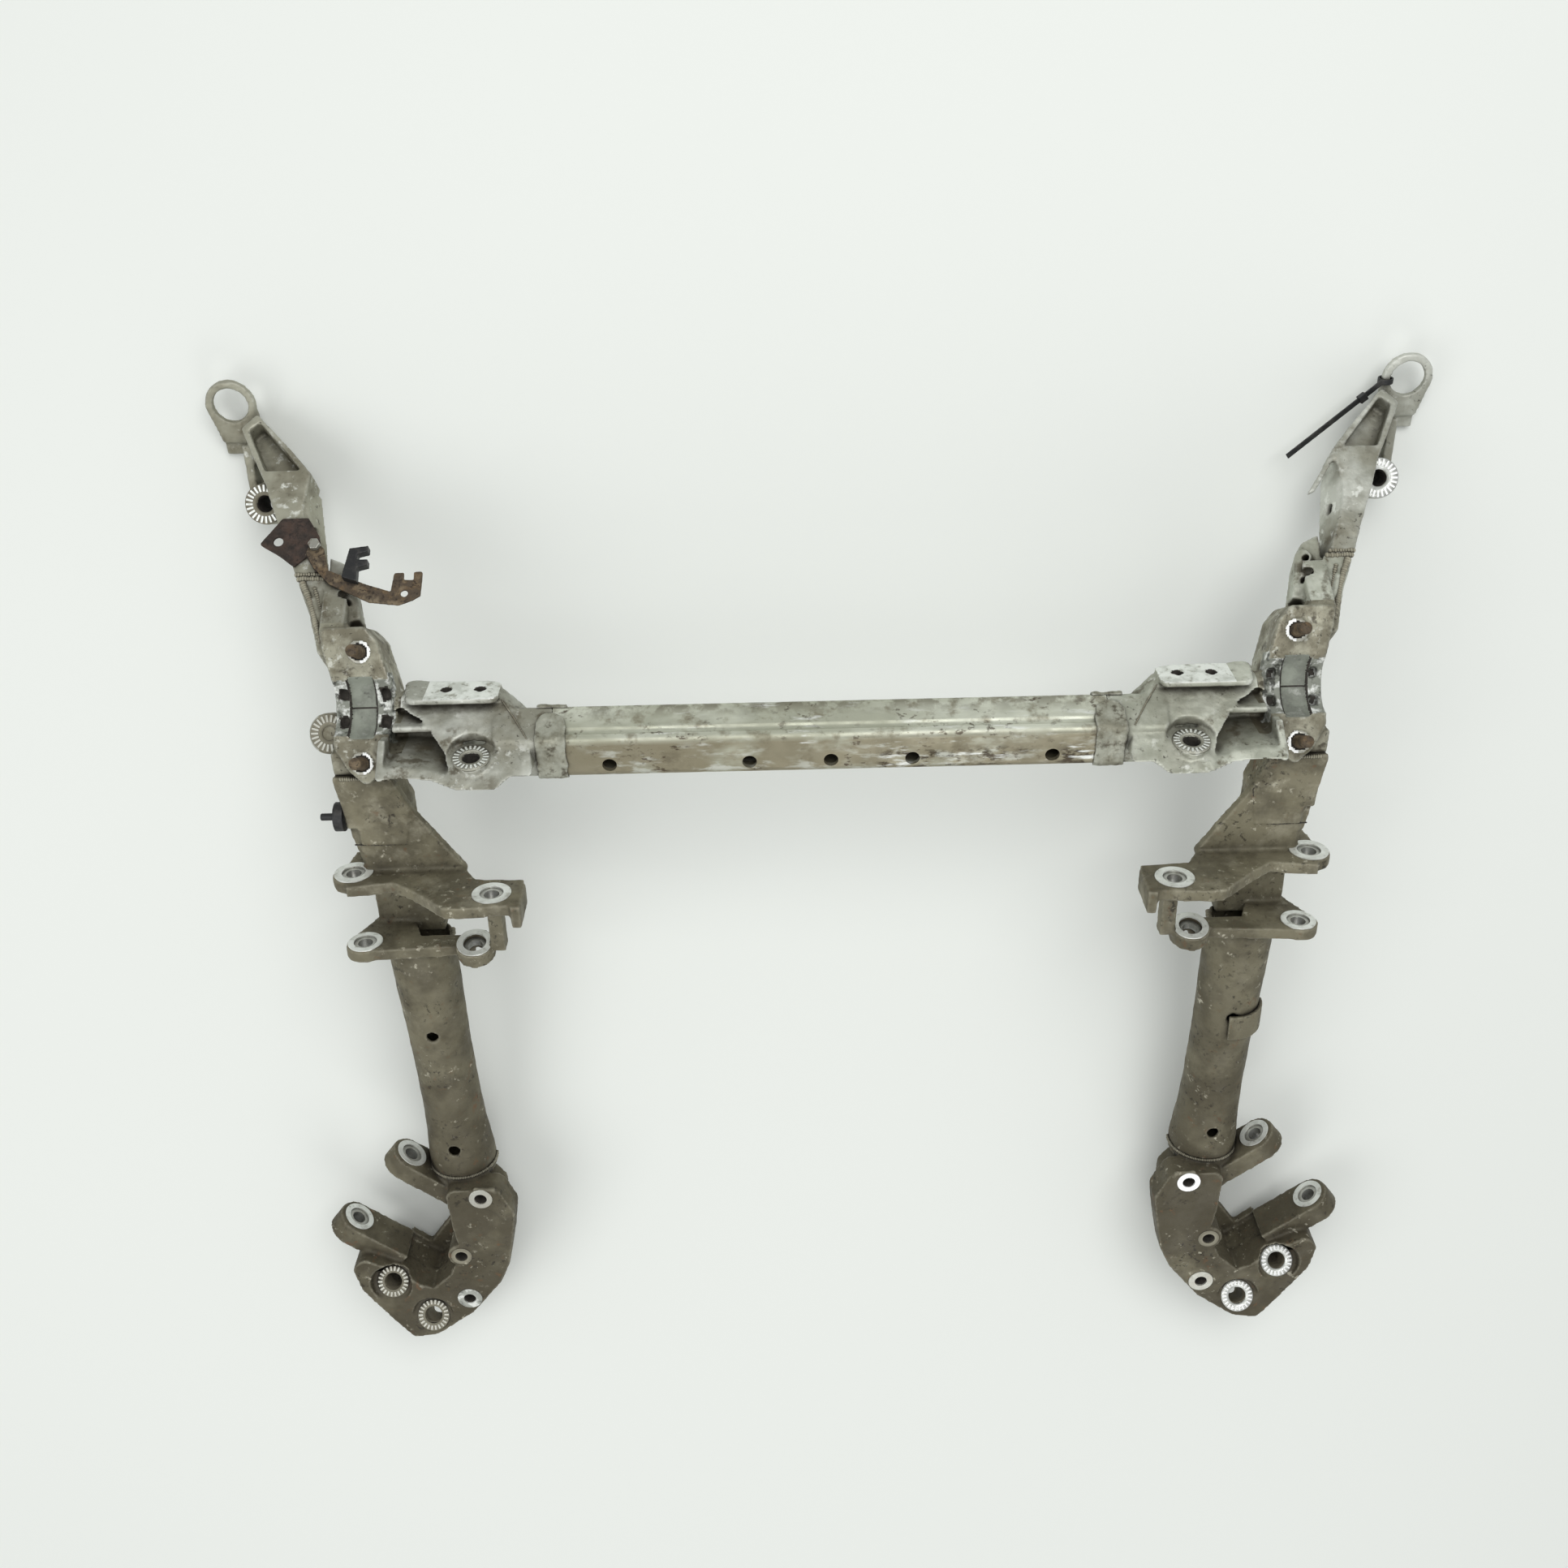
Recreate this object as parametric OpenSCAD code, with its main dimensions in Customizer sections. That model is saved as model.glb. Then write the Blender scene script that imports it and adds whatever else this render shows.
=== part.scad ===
// Front subframe of a car: castings and tubes of aluminium welded into one open frame.
// It lies with its underside up, on its two front eyes and the backs of its two rear castings.
// Pieces are drawn in the car's own axes: x across, y to the front, z down in the car, in millimetres.
// The origin of those axes is on the centre plane, at the rear end and the underside of the rear castings.

/* [Cross tube] */
// Half the length of the cross tube
tube_half = 218; // [200:1:224]
// Wall of the cross tube
tube_wall = 4; // [3:0.5:6]
// Width of each of the two lower bands of the section
tube_band = 34; // [30:1:38]
// Height of the rear wall of the section
tube_back = 44; // [38:1:48]
// Rounding of the section's corners
tube_round = 6; // [5:0.5:9]
// Distance of the tube's lower crease from the rear end
tube_y = 625; // [621:1:629]
// Height of the lower crease over the rear underside
tube_z = -8; // [-12:1:-5]
// Diameter of the drain holes
drain_d = 11.5; // [8:0.5:14]
// Distance of the drain holes from the crease
drain_from_crease = 23; // [18:1:25]
// Spacing of the inner drain holes
drain_inner = 64; // [50:1:80]
// Distance of the outer drain holes from the centre
drain_outer = 174; // [150:1:185]
// Thickness of the weld collars on the tube ends
collar_t = 2; // [1.5:0.5:3]
// Length of a collar on the tube
collar_on_tube = 11; // [8:1:14]
// Length of a collar on the casting's stub
collar_on_stub = 13; // [9:1:15]

/* [Front nodes] */
// Distance from the centre to the bolt seat of a node
node_bolt_x = 280; // [276:1:284]
// Bolt hole of the node
node_bolt_d = 13.5; // [11:0.5:15]
// Spot face of the node bolt
node_seat_d = 40; // [36:1:44]
// Distance of the bolt seat's face from the rear end
node_seat_y = 616; // [613:1:618]
// Casting wall
wall = 6; // [5:0.5:7]
// Slope of the panel, measured from the car's horizontal
panel_tilt = 53; // [50:1:56]
// Spacing of the two holes in the tab
tab_pitch = 27; // [22:1:32]
// Diameter of the tab holes
tab_hole_d = 9; // [6:0.5:11]
// Thickness of the tab
tab_t = 5; // [4:0.5:7]

/* [Bush seats] */
// Distance from the centre to the bush seats
seat_x = 370; // [366:1:374]
// Spacing of the two clamp studs
stud_pitch = 88; // [84:1:92]
// Slope of the seat, measured from the car's horizontal
seat_tilt = 27; // [24:1:30]
// Radius of the half-round seat
seat_r = 26; // [25:0.5:28]
// Depth of the half-round seat
seat_deep = 12; // [10:0.5:13]
// Thread diameter of the studs
stud_d = 10; // [8:0.5:10]
// Diameter of the pressed-in shank of a stud
shank_d = 11; // [10.5:0.5:13]
// Length of stud over the seat
stud_out = 24; // [15:1:30]
// Length of stud in the casting
stud_in = 16; // [12:1:18]

/* [Front arms] */
// Half the distance between the two front eyes
eye_x = 493; // [489:1:497]
// Distance from the rear end to the eyes
eye_y = 834; // [830:1:838]
// Rise of the eyes over the rear underside
eye_rise = 232; // [229:1:235]
// Bore of an eye
eye_d = 29; // [26:0.5:31]
// Radial width of the ring round an eye
eye_ring = 6.5; // [5.5:0.5:8]
// Thickness of the eye plate
eye_t = 6; // [5:0.5:8]
// Bolt hole of the front body mount
front_bolt_d = 13.5; // [11:0.5:16]
// Diameter of the front body mount boss
front_boss_d = 34; // [32:1:36]
// Depth of the arm channel
arm_depth = 30; // [26:1:34]

/* [Link brackets] */
// Distance from the centre to the outer link eyes
link_x = 391; // [388:1:394]
// Distance from the centre to the inner eye of the upper shelf
inner_eye_x = 273; // [270:1:276]
// Distance of the upper shelf's front face from the rear end
upper_shelf_y = 503; // [500:1:506]
// Distance of the lower shelf's front face from the rear end
lower_shelf_y = 435; // [431:1:439]
// Thickness of a shelf
shelf_t = 10; // [9:0.5:12]
// Radius of the outer lugs
lug_r = 17; // [16:0.5:19]
// Outer diameter of the pressed-in sleeves
sleeve_d = 19; // [17:0.5:21]
// Bore of the pressed-in sleeves
sleeve_bore = 12.4; // [10:0.2:14]
// Radial play round the sleeves and studs
fit_gap = 0.1; // [0.05:0.05:0.2]

/* [Side tubes] */
// Distance from the centre to the upper end of the side tubes
side_x = 351; // [349:1:353]
// Distance from the centre to the lower end of the side tubes
side_end_x = 341; // [339:1:343]
// Radius of a side tube at its waist
side_r = 26; // [24:0.5:27]
// Wall of a side tube
side_wall = 3.5; // [2.5:0.5:5]
// Drain hole of a side tube
side_drain_d = 10; // [7:0.5:12]

/* [Rear castings] */
// Depth of the rear castings
rear_depth = 60; // [58:1:64]
// Angle of the fork's bolt axis to the car's length
fork_angle = 38; // [36:1:40]
// Gap of the fork
fork_gap = 77; // [74:1:79]
// Thickness of the front fork lug
fork_t = 18; // [15:0.5:20]
// Radius of the fork lugs
fork_r = 18; // [17:0.5:20]
// Bolt hole of the rear body mounts
rear_bolt_d = 16; // [13:0.5:17]
// Diameter of the flange seats of the rear body mounts
rear_seat_d = 30; // [28:0.5:32]
// Slope of the rear body bolts, measured from the car's vertical
rear_bolt_tilt = 28; // [25:1:30]
// Smaller threaded holes in the rear casting
rear_hole_d = 11; // [8:0.5:12]

/* [Brackets and clips] */
// Thickness of the rusty sheet brackets
sheet_t = 2.5; // [2:0.5:3.5]
// Hole in the arm bracket
arm_bracket_hole = 8; // [6:0.5:10]
// Width of the cable tie
tie_w = 4.5; // [3.5:0.5:6]

/* [Hidden] */
$fn = 48;

// Colours
bare = "#b9bab2";
dirty = "#776f60";
rusty = "#6b4a36";
black = "#1d1e20";
steel = "#a9a9a4";

// Room that a cut takes past a face
past = 1;
// Half the length of the tube at which the pieces of a side are drawn; they move out with a longer tube
drawn_half = 218;

// Cross tube section in y and z, counter-clockwise from the crease
lower_tilt = 8;
upper_tilt = 60;
crease = [tube_y, tube_z];
lower_rear = crease - tube_band * [cos(lower_tilt), sin(lower_tilt)];
upper_front = crease + tube_band * [cos(upper_tilt), -sin(upper_tilt)];
back_rear = lower_rear - [0, tube_back];
back_front = [upper_front[0] - 15, back_rear[1]];
tube_section = [crease, lower_rear, back_rear, back_front, upper_front];

// Places of the front nodes
ledge_over_seat = 50;
ledge_y = node_seat_y + ledge_over_seat * cos(panel_tilt);
ledge_z = -2 - ledge_over_seat * sin(panel_tilt);
node_back_z = -58;
node_bolt_tilt = 78;
node_bolt_at = [node_bolt_x, node_seat_y, -2];
node_boss_d = 30;
node_boss_len = 18;
node_mark = [288, -69, 0];
node_rear_y = 590;
node_front_y = ledge_y + 3;
stub_end = 264;
seat_y = 604;
seat_z = -20;
seat_depth = 46;
seat_face_t = 22;
stud_boss_d = 17;
stud_boss_h = 2;
arm_tilt = 47.5;
arm_y = 690;
arm_z = -75;
horn_top = 52;
horn_face_t = 10;
ear_z = -8;
ear_lean = 35;
horn_oval = [399, 36, -7];
oval_lean = 65;
tab_y = ledge_y + 7;
tab_z = -50;
tab_mid_x = 289.5;

// Places of the front arms
eye_tilt = 5.7;
eye_out_r = eye_d / 2 + eye_ring;
step_back = 44;
step_t = 10;
front_bolt = [463, 764, -185];
front_bolt_tilt = 18;
front_boss_len = 40;

// Places of the link brackets
link_z = -20;
inner_eye_z = 17;
leg_z = -24;
leg_t = 9;
leg_back_z = -62;
link_eyes = [
    [link_x, upper_shelf_y, link_z], [inner_eye_x, upper_shelf_y, inner_eye_z], [link_x, lower_shelf_y, link_z]
];
bolt_head_d = 22;
bolt_head_h = 16;
low_boss = [296, lower_shelf_y + 9, -3];
low_boss_tilt = 15;
low_boss_r = 16;
low_boss_len = 14;
low_sleeve_in = 4;
low_ledge = 3.5;

// Places of the side tubes
side_z = -45;
side_top_y = lower_shelf_y - shelf_t;
side_end_y = 180;
side_lean = atan((side_x - side_end_x) / (side_top_y - side_end_y));
side_length = (side_top_y - side_end_y) / cos(side_lean);
flare_r = side_r + 4;

// Places of the rear castings
fork_dir = [-sin(fork_angle), cos(fork_angle)];
fork_mid = [420, 151.5];
fork_z = -32;
front_lug = fork_mid + fork_dir * (fork_gap / 2 + fork_t);
rear_lug = fork_mid - fork_dir * fork_gap / 2;
rear_lug_t = 20;
rear_bolts = [[415, 62, -9], [380, 26, -1]];
hole_a = [320, 170];
hole_b = [345, 101];
hole_c = [343, 48];
rear_face_t = 26;
rear_round = 9;
rear_column_d = rear_seat_d - 4;
rear_end_y = -2;

// How the part lies
front_rest = [eye_y - step_back, -eye_rise - step_back * tan(eye_tilt) - step_t];
rear_rest = [rear_end_y, -rear_depth];
rest_pitch = atan((rear_rest[1] - front_rest[1]) / (front_rest[0] - rear_rest[0]));
lift = -rear_rest[0] * sin(rest_pitch) - rear_rest[1] * cos(rest_pitch);
front_reach = (eye_y + eye_out_r) * cos(rest_pitch) + eye_rise * sin(rest_pitch);
mid_y = (front_reach + rear_end_y * cos(rest_pitch)) / 2;

// Flat outlines with true arcs on their outer corners; points run counter-clockwise
function unit(v) = v / norm(v);
function outward(p, q) = unit([q[1] - p[1], p[0] - q[0]]);
function turn(p, q, r) = (q[0] - p[0]) * (r[1] - q[1]) - (q[1] - p[1]) * (r[0] - q[0]);
function before(pts, i) = pts[(i + len(pts) - 1) % len(pts)];
function after(pts, i) = pts[(i + 1) % len(pts)];
function inset(pts, d) = [
    for (i = [0:len(pts) - 1])
        let (a = outward(before(pts, i), pts[i]), b = outward(pts[i], after(pts, i)))
            pts[i] - d * (a + b) / (1 + a * b)
];

module rounded(pts, r) {
    core = inset(pts, r);
    count = len(pts);
    convex = [for (i = [0:count - 1]) turn(before(pts, i), pts[i], after(pts, i)) > 0];
    polygon([
        for (i = [0:count - 1])
            each convex[i]
                ? [core[i] + r * outward(before(pts, i), pts[i]), core[i] + r * outward(pts[i], after(pts, i))]
                : [pts[i]]
    ]);
    for (i = [0:count - 1])
        if (convex[i])
            translate(core[i]) circle(r);
}

// Placing
module laid() {
    translate([0, -mid_y, lift]) rotate([rest_pitch, 0, 0]) children();
}
module on_side(side) {
    mirror([side < 0 ? 1 : 0, 0, 0]) translate([tube_half - drawn_half, 0, 0]) children();
}
module along_x(from, to) {
    translate([from, 0, 0]) rotate([90, 0, 90]) linear_extrude(to - from) children();
}
module facing_front(y, t) {
    translate([0, y, 0]) rotate([90, 0, 0]) linear_extrude(t) children();
}
module facing_down(z, t) {
    translate([0, 0, z - t]) linear_extrude(t) children();
}
module on_panel() {
    translate([0, ledge_y, ledge_z]) rotate([-panel_tilt, 0, 0]) children();
}
module on_seat() {
    translate([0, seat_y, seat_z]) rotate([-seat_tilt, 0, 0]) children();
}
module on_arm() {
    translate([0, arm_y, arm_z]) rotate([-arm_tilt, 0, 0]) children();
}
module on_eye() {
    translate([0, eye_y, -eye_rise]) rotate([eye_tilt, 0, 0]) children();
}
module on_fork(at) {
    translate([at[0], at[1], fork_z]) rotate([0, 0, fork_angle]) children();
}
module drill(d, deep) {
    translate([0, 0, -deep]) cylinder(d = d, h = deep + past * 40);
}

// Cross tube
module tube_outline(grow = 0) {
    rounded(inset(tube_section, -grow), tube_round + grow);
}

module cross_tube() {
    drains = [-drain_outer, -drain_inner, 0, drain_inner, drain_outer];
    groove_r = 5;
    groove_deep = 1.3;
    color(bare) laid() difference() {
        along_x(-tube_half, tube_half) difference() {
            tube_outline();
            tube_outline(-tube_wall);
            translate(crease + [cos(upper_tilt), -sin(upper_tilt)] * 10
                + [sin(upper_tilt), cos(upper_tilt)] * (groove_r - groove_deep))
                circle(groove_r);
        }
        for (x = drains)
            translate([x, crease[0] - drain_from_crease * cos(lower_tilt),
                crease[1] - drain_from_crease * sin(lower_tilt)])
                rotate([lower_tilt, 0, 0])
                    translate([0, 0, -tube_wall * 2]) cylinder(d = drain_d, h = tube_wall * 4);
    }
}

// Weld collar: a band round the joint of tube and casting, arched on the upper band
module tube_collar(side) {
    from = drawn_half - collar_on_tube;
    to = drawn_half + collar_on_stub;
    mid_band = crease + [cos(upper_tilt), -sin(upper_tilt)] * tube_band * 0.45;
    color(steel) laid() on_side(side) difference() {
        along_x(from, to) difference() {
            tube_outline(collar_t);
            tube_outline();
        }
        difference() {
            translate([from - past, mid_band[0], mid_band[1]]) rotate([-upper_tilt, 0, 0])
                cube([to - from + 2 * past, tube_band, tube_round * 2]);
            translate([(from + to) / 2, mid_band[0], mid_band[1]]) rotate([-upper_tilt, 0, 0])
                translate([0, 0, -tube_round]) cylinder(r = (to - from) / 2, h = tube_round * 4);
        }
    }
}

// Block behind an outline, and the hollow that opens its back
module open_box(pts, depth, r) {
    translate([0, 0, -depth]) linear_extrude(depth) rounded(pts, r);
}
module box_hollow(pts, depth, face_t, r) {
    translate([0, 0, -depth - past]) linear_extrude(depth - face_t + past) rounded(inset(pts, wall), r);
}

// Front node casting: wedge under a sloped panel, with a side pocket, a tab, the bush seat and the arm horn
node_points = [
    [231, 606], [249, 605], [260, 599], [290, 599], [311, 604], [336, 606], [354, 604],
    [354, node_front_y], [258, node_front_y], [236, 626]
];
pocket_points = [
    [296, 606], [312, 610], [336, 612], [348, 611], [348, 640], [338, 643], [319, 635], [301, 618]
];
hollow_points = [[242, 612], [262, 606], [284, 606], [290, 620], [308, 637], [262, 638], [243, 624]];
seat_points = [
    [seat_x - 16, 2], [seat_x - 12, -10], [seat_x - 3, -18], [seat_x + 11, -6],
    [seat_x + 22, 12], [seat_x + 23, 68], [seat_x + 30, 92], [seat_x + 31, stud_pitch + 20],
    [seat_x - 4, stud_pitch + 20], [seat_x - 14, stud_pitch + 9],
    [seat_x - 23, 67], [seat_x - 28, 44], [seat_x - 22, 22]
];
horn_points = [
    [379, -16], [404, -16], [413, 20], [426, horn_top], [402, horn_top], [395, 34], [391, 18], [381, 10]
];
tab_points = [
    [260, tab_z - 14], [319, tab_z - 17], [340, tab_z - 24], [332, tab_z + 19], [260, tab_z + 19]
];
ear_points = [[374, 18], [394, 14], [402, 50], [402, 74], [388, 67], [381, 48]];
ear_bosses = [[386, 32], [390, 52]];

module under_panel(below) {
    on_panel() translate([200, -120, -150 - below]) cube([200, 160, 150]);
}

module node_wedge() {
    difference() {
        intersection() {
            translate([0, 0, node_back_z]) linear_extrude(100) rounded(node_points, 3);
            under_panel(0);
        }
        intersection() {
            translate([0, 0, node_back_z - past]) linear_extrude(100) rounded(hollow_points, 2);
            under_panel(8);
        }
        translate([0, 0, node_back_z + wall]) linear_extrude(100) rounded(pocket_points, 2);
    }
    translate([314, 628, node_back_z]) cube([30, 5, 34]);
}

module node_tab() {
    facing_front(tab_y, tab_t)
        rounded(tab_points, 8);
}

module bush_seat() {
    on_seat() {
        difference() {
            open_box(seat_points, seat_depth, 5);
            box_hollow(seat_points, seat_depth, seat_face_t, 3);
            translate([seat_x - 50, -60, -seat_depth - past]) cube([100, 58, seat_depth - 7]);
        }
        for (y = [0, stud_pitch])
            translate([seat_x, y, -seat_face_t]) cylinder(d = stud_boss_d, h = seat_face_t + stud_boss_h);
    }
}

module bush_seat_cuts() {
    inner_edge = 26;
    band_w = 20;
    band_deep = 2.5;
    cheek = [7, 9, 20];
    translate([seat_x, stud_pitch / 2, seat_r - seat_deep]) rotate([0, 90, 0]) {
        translate([0, 0, -inner_edge]) cylinder(r = seat_r, h = 80);
        cylinder(r = seat_r + band_deep, h = band_w, center = true);
    }
    for (dx = [-18, 15], dy = [-11, 11])
        translate([seat_x + dx - cheek[0] / 2, stud_pitch / 2 + dy - cheek[1] / 2, -seat_deep - 3]) cube(cheek);
    for (y = [0, stud_pitch])
        translate([seat_x, y, 0]) drill(shank_d + 2 * fit_gap, stud_in);
}

module horn() {
    on_arm() {
        difference() {
            open_box(horn_points, arm_depth, 4);
            box_hollow(horn_points, arm_depth, horn_face_t, 2);
        }
        translate([0, 0, -arm_depth]) linear_extrude(arm_depth + ear_z) polygon(ear_points);
        for (x = [389, 397])
            translate([x, -6, -1]) rotate([-90, 0, -19]) cylinder(r = 3, h = horn_top - 10);
        for (at = ear_bosses)
            translate([at[0], at[1], ear_z - 5]) rotate([0, -ear_lean, 0]) cylinder(d = 15, h = 8);
        translate(horn_oval) rotate([0, -oval_lean, 0]) cylinder(d = 17, h = 6);
    }
    along_x(383, 402) polygon([[698, -70], [722, -110], [690, -95], [680, -70]]);
}

module horn_holes() {
    on_arm() {
        for (at = ear_bosses)
            translate([at[0], at[1], ear_z]) rotate([0, -ear_lean, 0]) drill(6, 8);
        translate(horn_oval) rotate([0, -oval_lean, 0]) drill(9, 0);
    }
}

module front_node(side) {
    color(bare) laid() on_side(side) difference() {
        union() {
            along_x(drawn_half, stub_end) tube_outline();
            node_wedge();
            translate(node_bolt_at) rotate([-node_bolt_tilt, 0, 0]) translate([0, 0, -node_boss_len])
                cylinder(d = node_boss_d, h = node_boss_len);
            on_panel() translate(node_mark) cylinder(d = 16, h = 1);
            node_tab();
            bush_seat();
            horn();
            translate([seat_x - 18, node_rear_y, leg_back_z]) cube([44, 20, 36]);
            if (side < 0)
                on_seat() translate([seat_x + 33, 25, -seat_depth]) cylinder(d = 34, h = 16);
        }
        along_x(drawn_half - past, stub_end - wall) tube_outline(-tube_wall);
        translate(node_bolt_at) rotate([-node_bolt_tilt, 0, 0]) {
            cylinder(d = node_seat_d, h = 60);
            drill(node_bolt_d, 60);
        }
        for (dx = [-tab_pitch / 2, tab_pitch / 2])
            translate([tab_mid_x + dx, tab_y, tab_z]) rotate([-90, 0, 0]) drill(tab_hole_d, tab_t + past);
        on_seat() bush_seat_cuts();
        horn_holes();
        translate([200, node_rear_y - 80, -130]) cube([300, 80, 130 + leg_z + 2]);
    }
}

// Front arm: closed lower part with a leaning inner wall, open channel above, eye plate and bolt boss
arm_points = [
    [406, horn_top], [426, horn_top], [436, 80], [448, 110], [458, 139], [466, 156], [478, 182], [482, 192],
    [470, 205], [462, 196], [437, 168], [421, 148], [425, 116], [421, 94]
];
arm_hollow = [
    [413, horn_top + 6], [421, horn_top + 6], [443, 112], [452, 141], [428, 141], [431, 116], [427, 92]
];
arm_pocket = [[430, 151], [459, 151], [473, 183], [475, 190], [467, 197], [441, 166]];
fin_points = [[464, 194], [466, 202], [455, 188], [420, 145], [395, 107], [402, 110], [421, 139], [442, 166]];
eye_points = [
    [eye_x - 24, -step_back + 10], [eye_x + 12, -33], [eye_x + eye_out_r - 1, -5], [eye_x - eye_out_r, -5]
];
step_points = [
    [eye_x - 20, -step_back], [eye_x + 12, -step_back], [eye_x + 12, -30], [eye_x - 20, -30]
];

module arm_channel() {
    floor_t = 5;
    pocket_deep = 17;
    on_arm() {
        difference() {
            translate([0, 0, -arm_depth]) linear_extrude(arm_depth) polygon(arm_points);
            translate([0, 0, -arm_depth - past]) linear_extrude(arm_depth - wall + past) polygon(arm_hollow);
            translate([0, 0, -pocket_deep]) linear_extrude(arm_depth) polygon(arm_pocket);
        }
        translate([413, horn_top + 8, -3]) rotate([0, 0, -9]) rotate([0, 16, 0])
            translate([0, 0, -arm_depth + 4]) cube([floor_t, 80, arm_depth - 4]);
    }
}

module front_arm(side) {
    color(bare) laid() on_side(side) difference() {
        union() {
            arm_channel();
            if (side > 0)
                on_arm() translate([0, 0, -4]) linear_extrude(4) polygon(fin_points);
            on_eye() translate([0, 0, -eye_t]) linear_extrude(eye_t) {
                translate([eye_x, 0]) circle(eye_out_r);
                polygon(eye_points);
            }
            on_eye() translate([0, 0, -step_t]) linear_extrude(step_t - 3) polygon(step_points);
            translate(front_bolt) rotate([-front_bolt_tilt, 0, 0]) translate([0, 0, -front_boss_len])
                cylinder(d = front_boss_d, h = front_boss_len);
            translate([eye_x - 16, eye_y - 70, -eye_rise - 8]) cube([8, 40, 22]);
        }
        on_eye() translate([eye_x, 0, -eye_t - past]) cylinder(d = eye_d, h = 60);
        on_eye() translate([eye_x - 0.8, eye_d / 2 - past, -1]) cube([1.6, eye_ring + 2 * past, 3]);
        translate(front_bolt) rotate([-front_bolt_tilt, 0, 0]) drill(front_bolt_d, front_boss_len + past);
        on_arm() translate([404, 100, -15]) rotate([0, 90, 0]) cylinder(d = 9, h = 22);
    }
}

// Link bracket: flared leg, two shelves and their lugs
leg_points = [
    [296, 497], [382, 497], [391, 535], [393, 560], [398, node_rear_y], [352, node_rear_y], [337, 557]
];
box_points = [
    [342, 494], [380, 494], [389, 535], [391, 560], [395, node_rear_y], [356, node_rear_y], [342, 557]
];
skin_points = [[345, 528], [388, 528], [392, 560], [397, node_rear_y], [358, node_rear_y], [340, 560]];
upper_shelf_points = [
    [252, 34], [250, -5], [290, -8], [304, -32], [346, -56], [396, -56], [400, -34], [393, 2],
    [356, -4], [338, 10], [310, 36], [298, 38]
];
lower_shelf_points = [
    [298, -8], [300, -30], [346, -30], [360, -66], [386, -66], [402, -32], [390, -6], [369, -8], [312, -12]
];

module shelf_plate(y, pts) {
    facing_front(y, shelf_t) {
        polygon(pts);
        children();
    }
}

module upper_shelf() {
    shelf_plate(upper_shelf_y, upper_shelf_points) {
        translate([link_x, link_z]) circle(lug_r);
        translate([inner_eye_x, inner_eye_z]) circle(lug_r + 2);
    }
    for (at = [[link_x, link_z], [inner_eye_x, inner_eye_z]])
        translate([at[0], upper_shelf_y, at[1]]) rotate([-90, 0, 0]) cylinder(r = lug_r - 0.5, h = 1);
    translate([248, upper_shelf_y - 20, 0]) cube([8, 20, 38]);
}

module lower_shelf() {
    shelf_plate(lower_shelf_y, lower_shelf_points)
        translate([link_x, link_z]) circle(lug_r - 1);
    translate([link_x, lower_shelf_y, link_z]) rotate([-90, 0, 0]) cylinder(r = lug_r - 2, h = 1);
    translate(low_boss) rotate([-90 + low_boss_tilt, 0, 0]) translate([0, 0, -low_boss_len])
        cylinder(r = low_boss_r, h = low_boss_len);
}

module at_link_eyes() {
    for (at = link_eyes)
        translate(at) rotate([-90, 0, 0]) children();
}

module link_bracket(side) {
    color(dirty) laid() on_side(side) difference() {
        union() {
            facing_down(leg_z, leg_t) rounded(leg_points, 4);
            facing_down(leg_z + 1.5, 3) polygon(skin_points);
            facing_down(leg_z - past, leg_z - leg_back_z - past) polygon(box_points);
            upper_shelf();
            lower_shelf();
            translate([330, lower_shelf_y - shelf_t, -70])
                cube([56, upper_shelf_y - lower_shelf_y + shelf_t - 2, 18]);
            translate([270, low_boss[1] - 6, -12]) cube([12, upper_shelf_y - low_boss[1], 14]);
        }
        facing_down(leg_z - leg_t, 40) rounded(inset(box_points, wall), 2);
        at_link_eyes() {
            drill(sleeve_d + 2 * fit_gap, shelf_t + past);
            translate([0, 0, 1]) cylinder(d = bolt_head_d, h = bolt_head_h);
        }
        translate(low_boss) rotate([-90 + low_boss_tilt, 0, 0]) {
            drill(sleeve_d + 2 * fit_gap, low_boss_len - low_ledge);
            drill(sleeve_bore, 40);
        }
    }
}

// Side tube: one turned form with a waist, wider at its ends
module at_side_end() {
    translate([side_end_x, side_end_y, side_z]) rotate([0, 0, -side_lean]) rotate([-90, 0, 0]) children();
}

module side_profile(shrink, below, over) {
    polygon([
        [0, -below], [flare_r - shrink, -below], [flare_r - shrink, 8], [flare_r - 1 - shrink, 20],
        [side_r + 1 - shrink, 44], [side_r - shrink, 76], [side_r - shrink, 130], [side_r + 1 - shrink, 170],
        [side_r + 2 - shrink, 200], [side_r + 2 - shrink, side_length + over], [0, side_length + over]
    ]);
}

module side_tube(side) {
    color(dirty) laid() on_side(side) difference() {
        at_side_end() difference() {
            rotate_extrude() side_profile(0, 0, 4);
            rotate_extrude() side_profile(side_wall, past, 4 + past);
            translate([0, 0, 30]) rotate([90, 0, 0]) cylinder(d = side_drain_d, h = 60);
        }
        translate([side_x - 4, 336, side_z]) cylinder(d = side_drain_d, h = 60);
        translate([side_x - 50, side_top_y, side_z - 50]) cube(100);
    }
}

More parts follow.
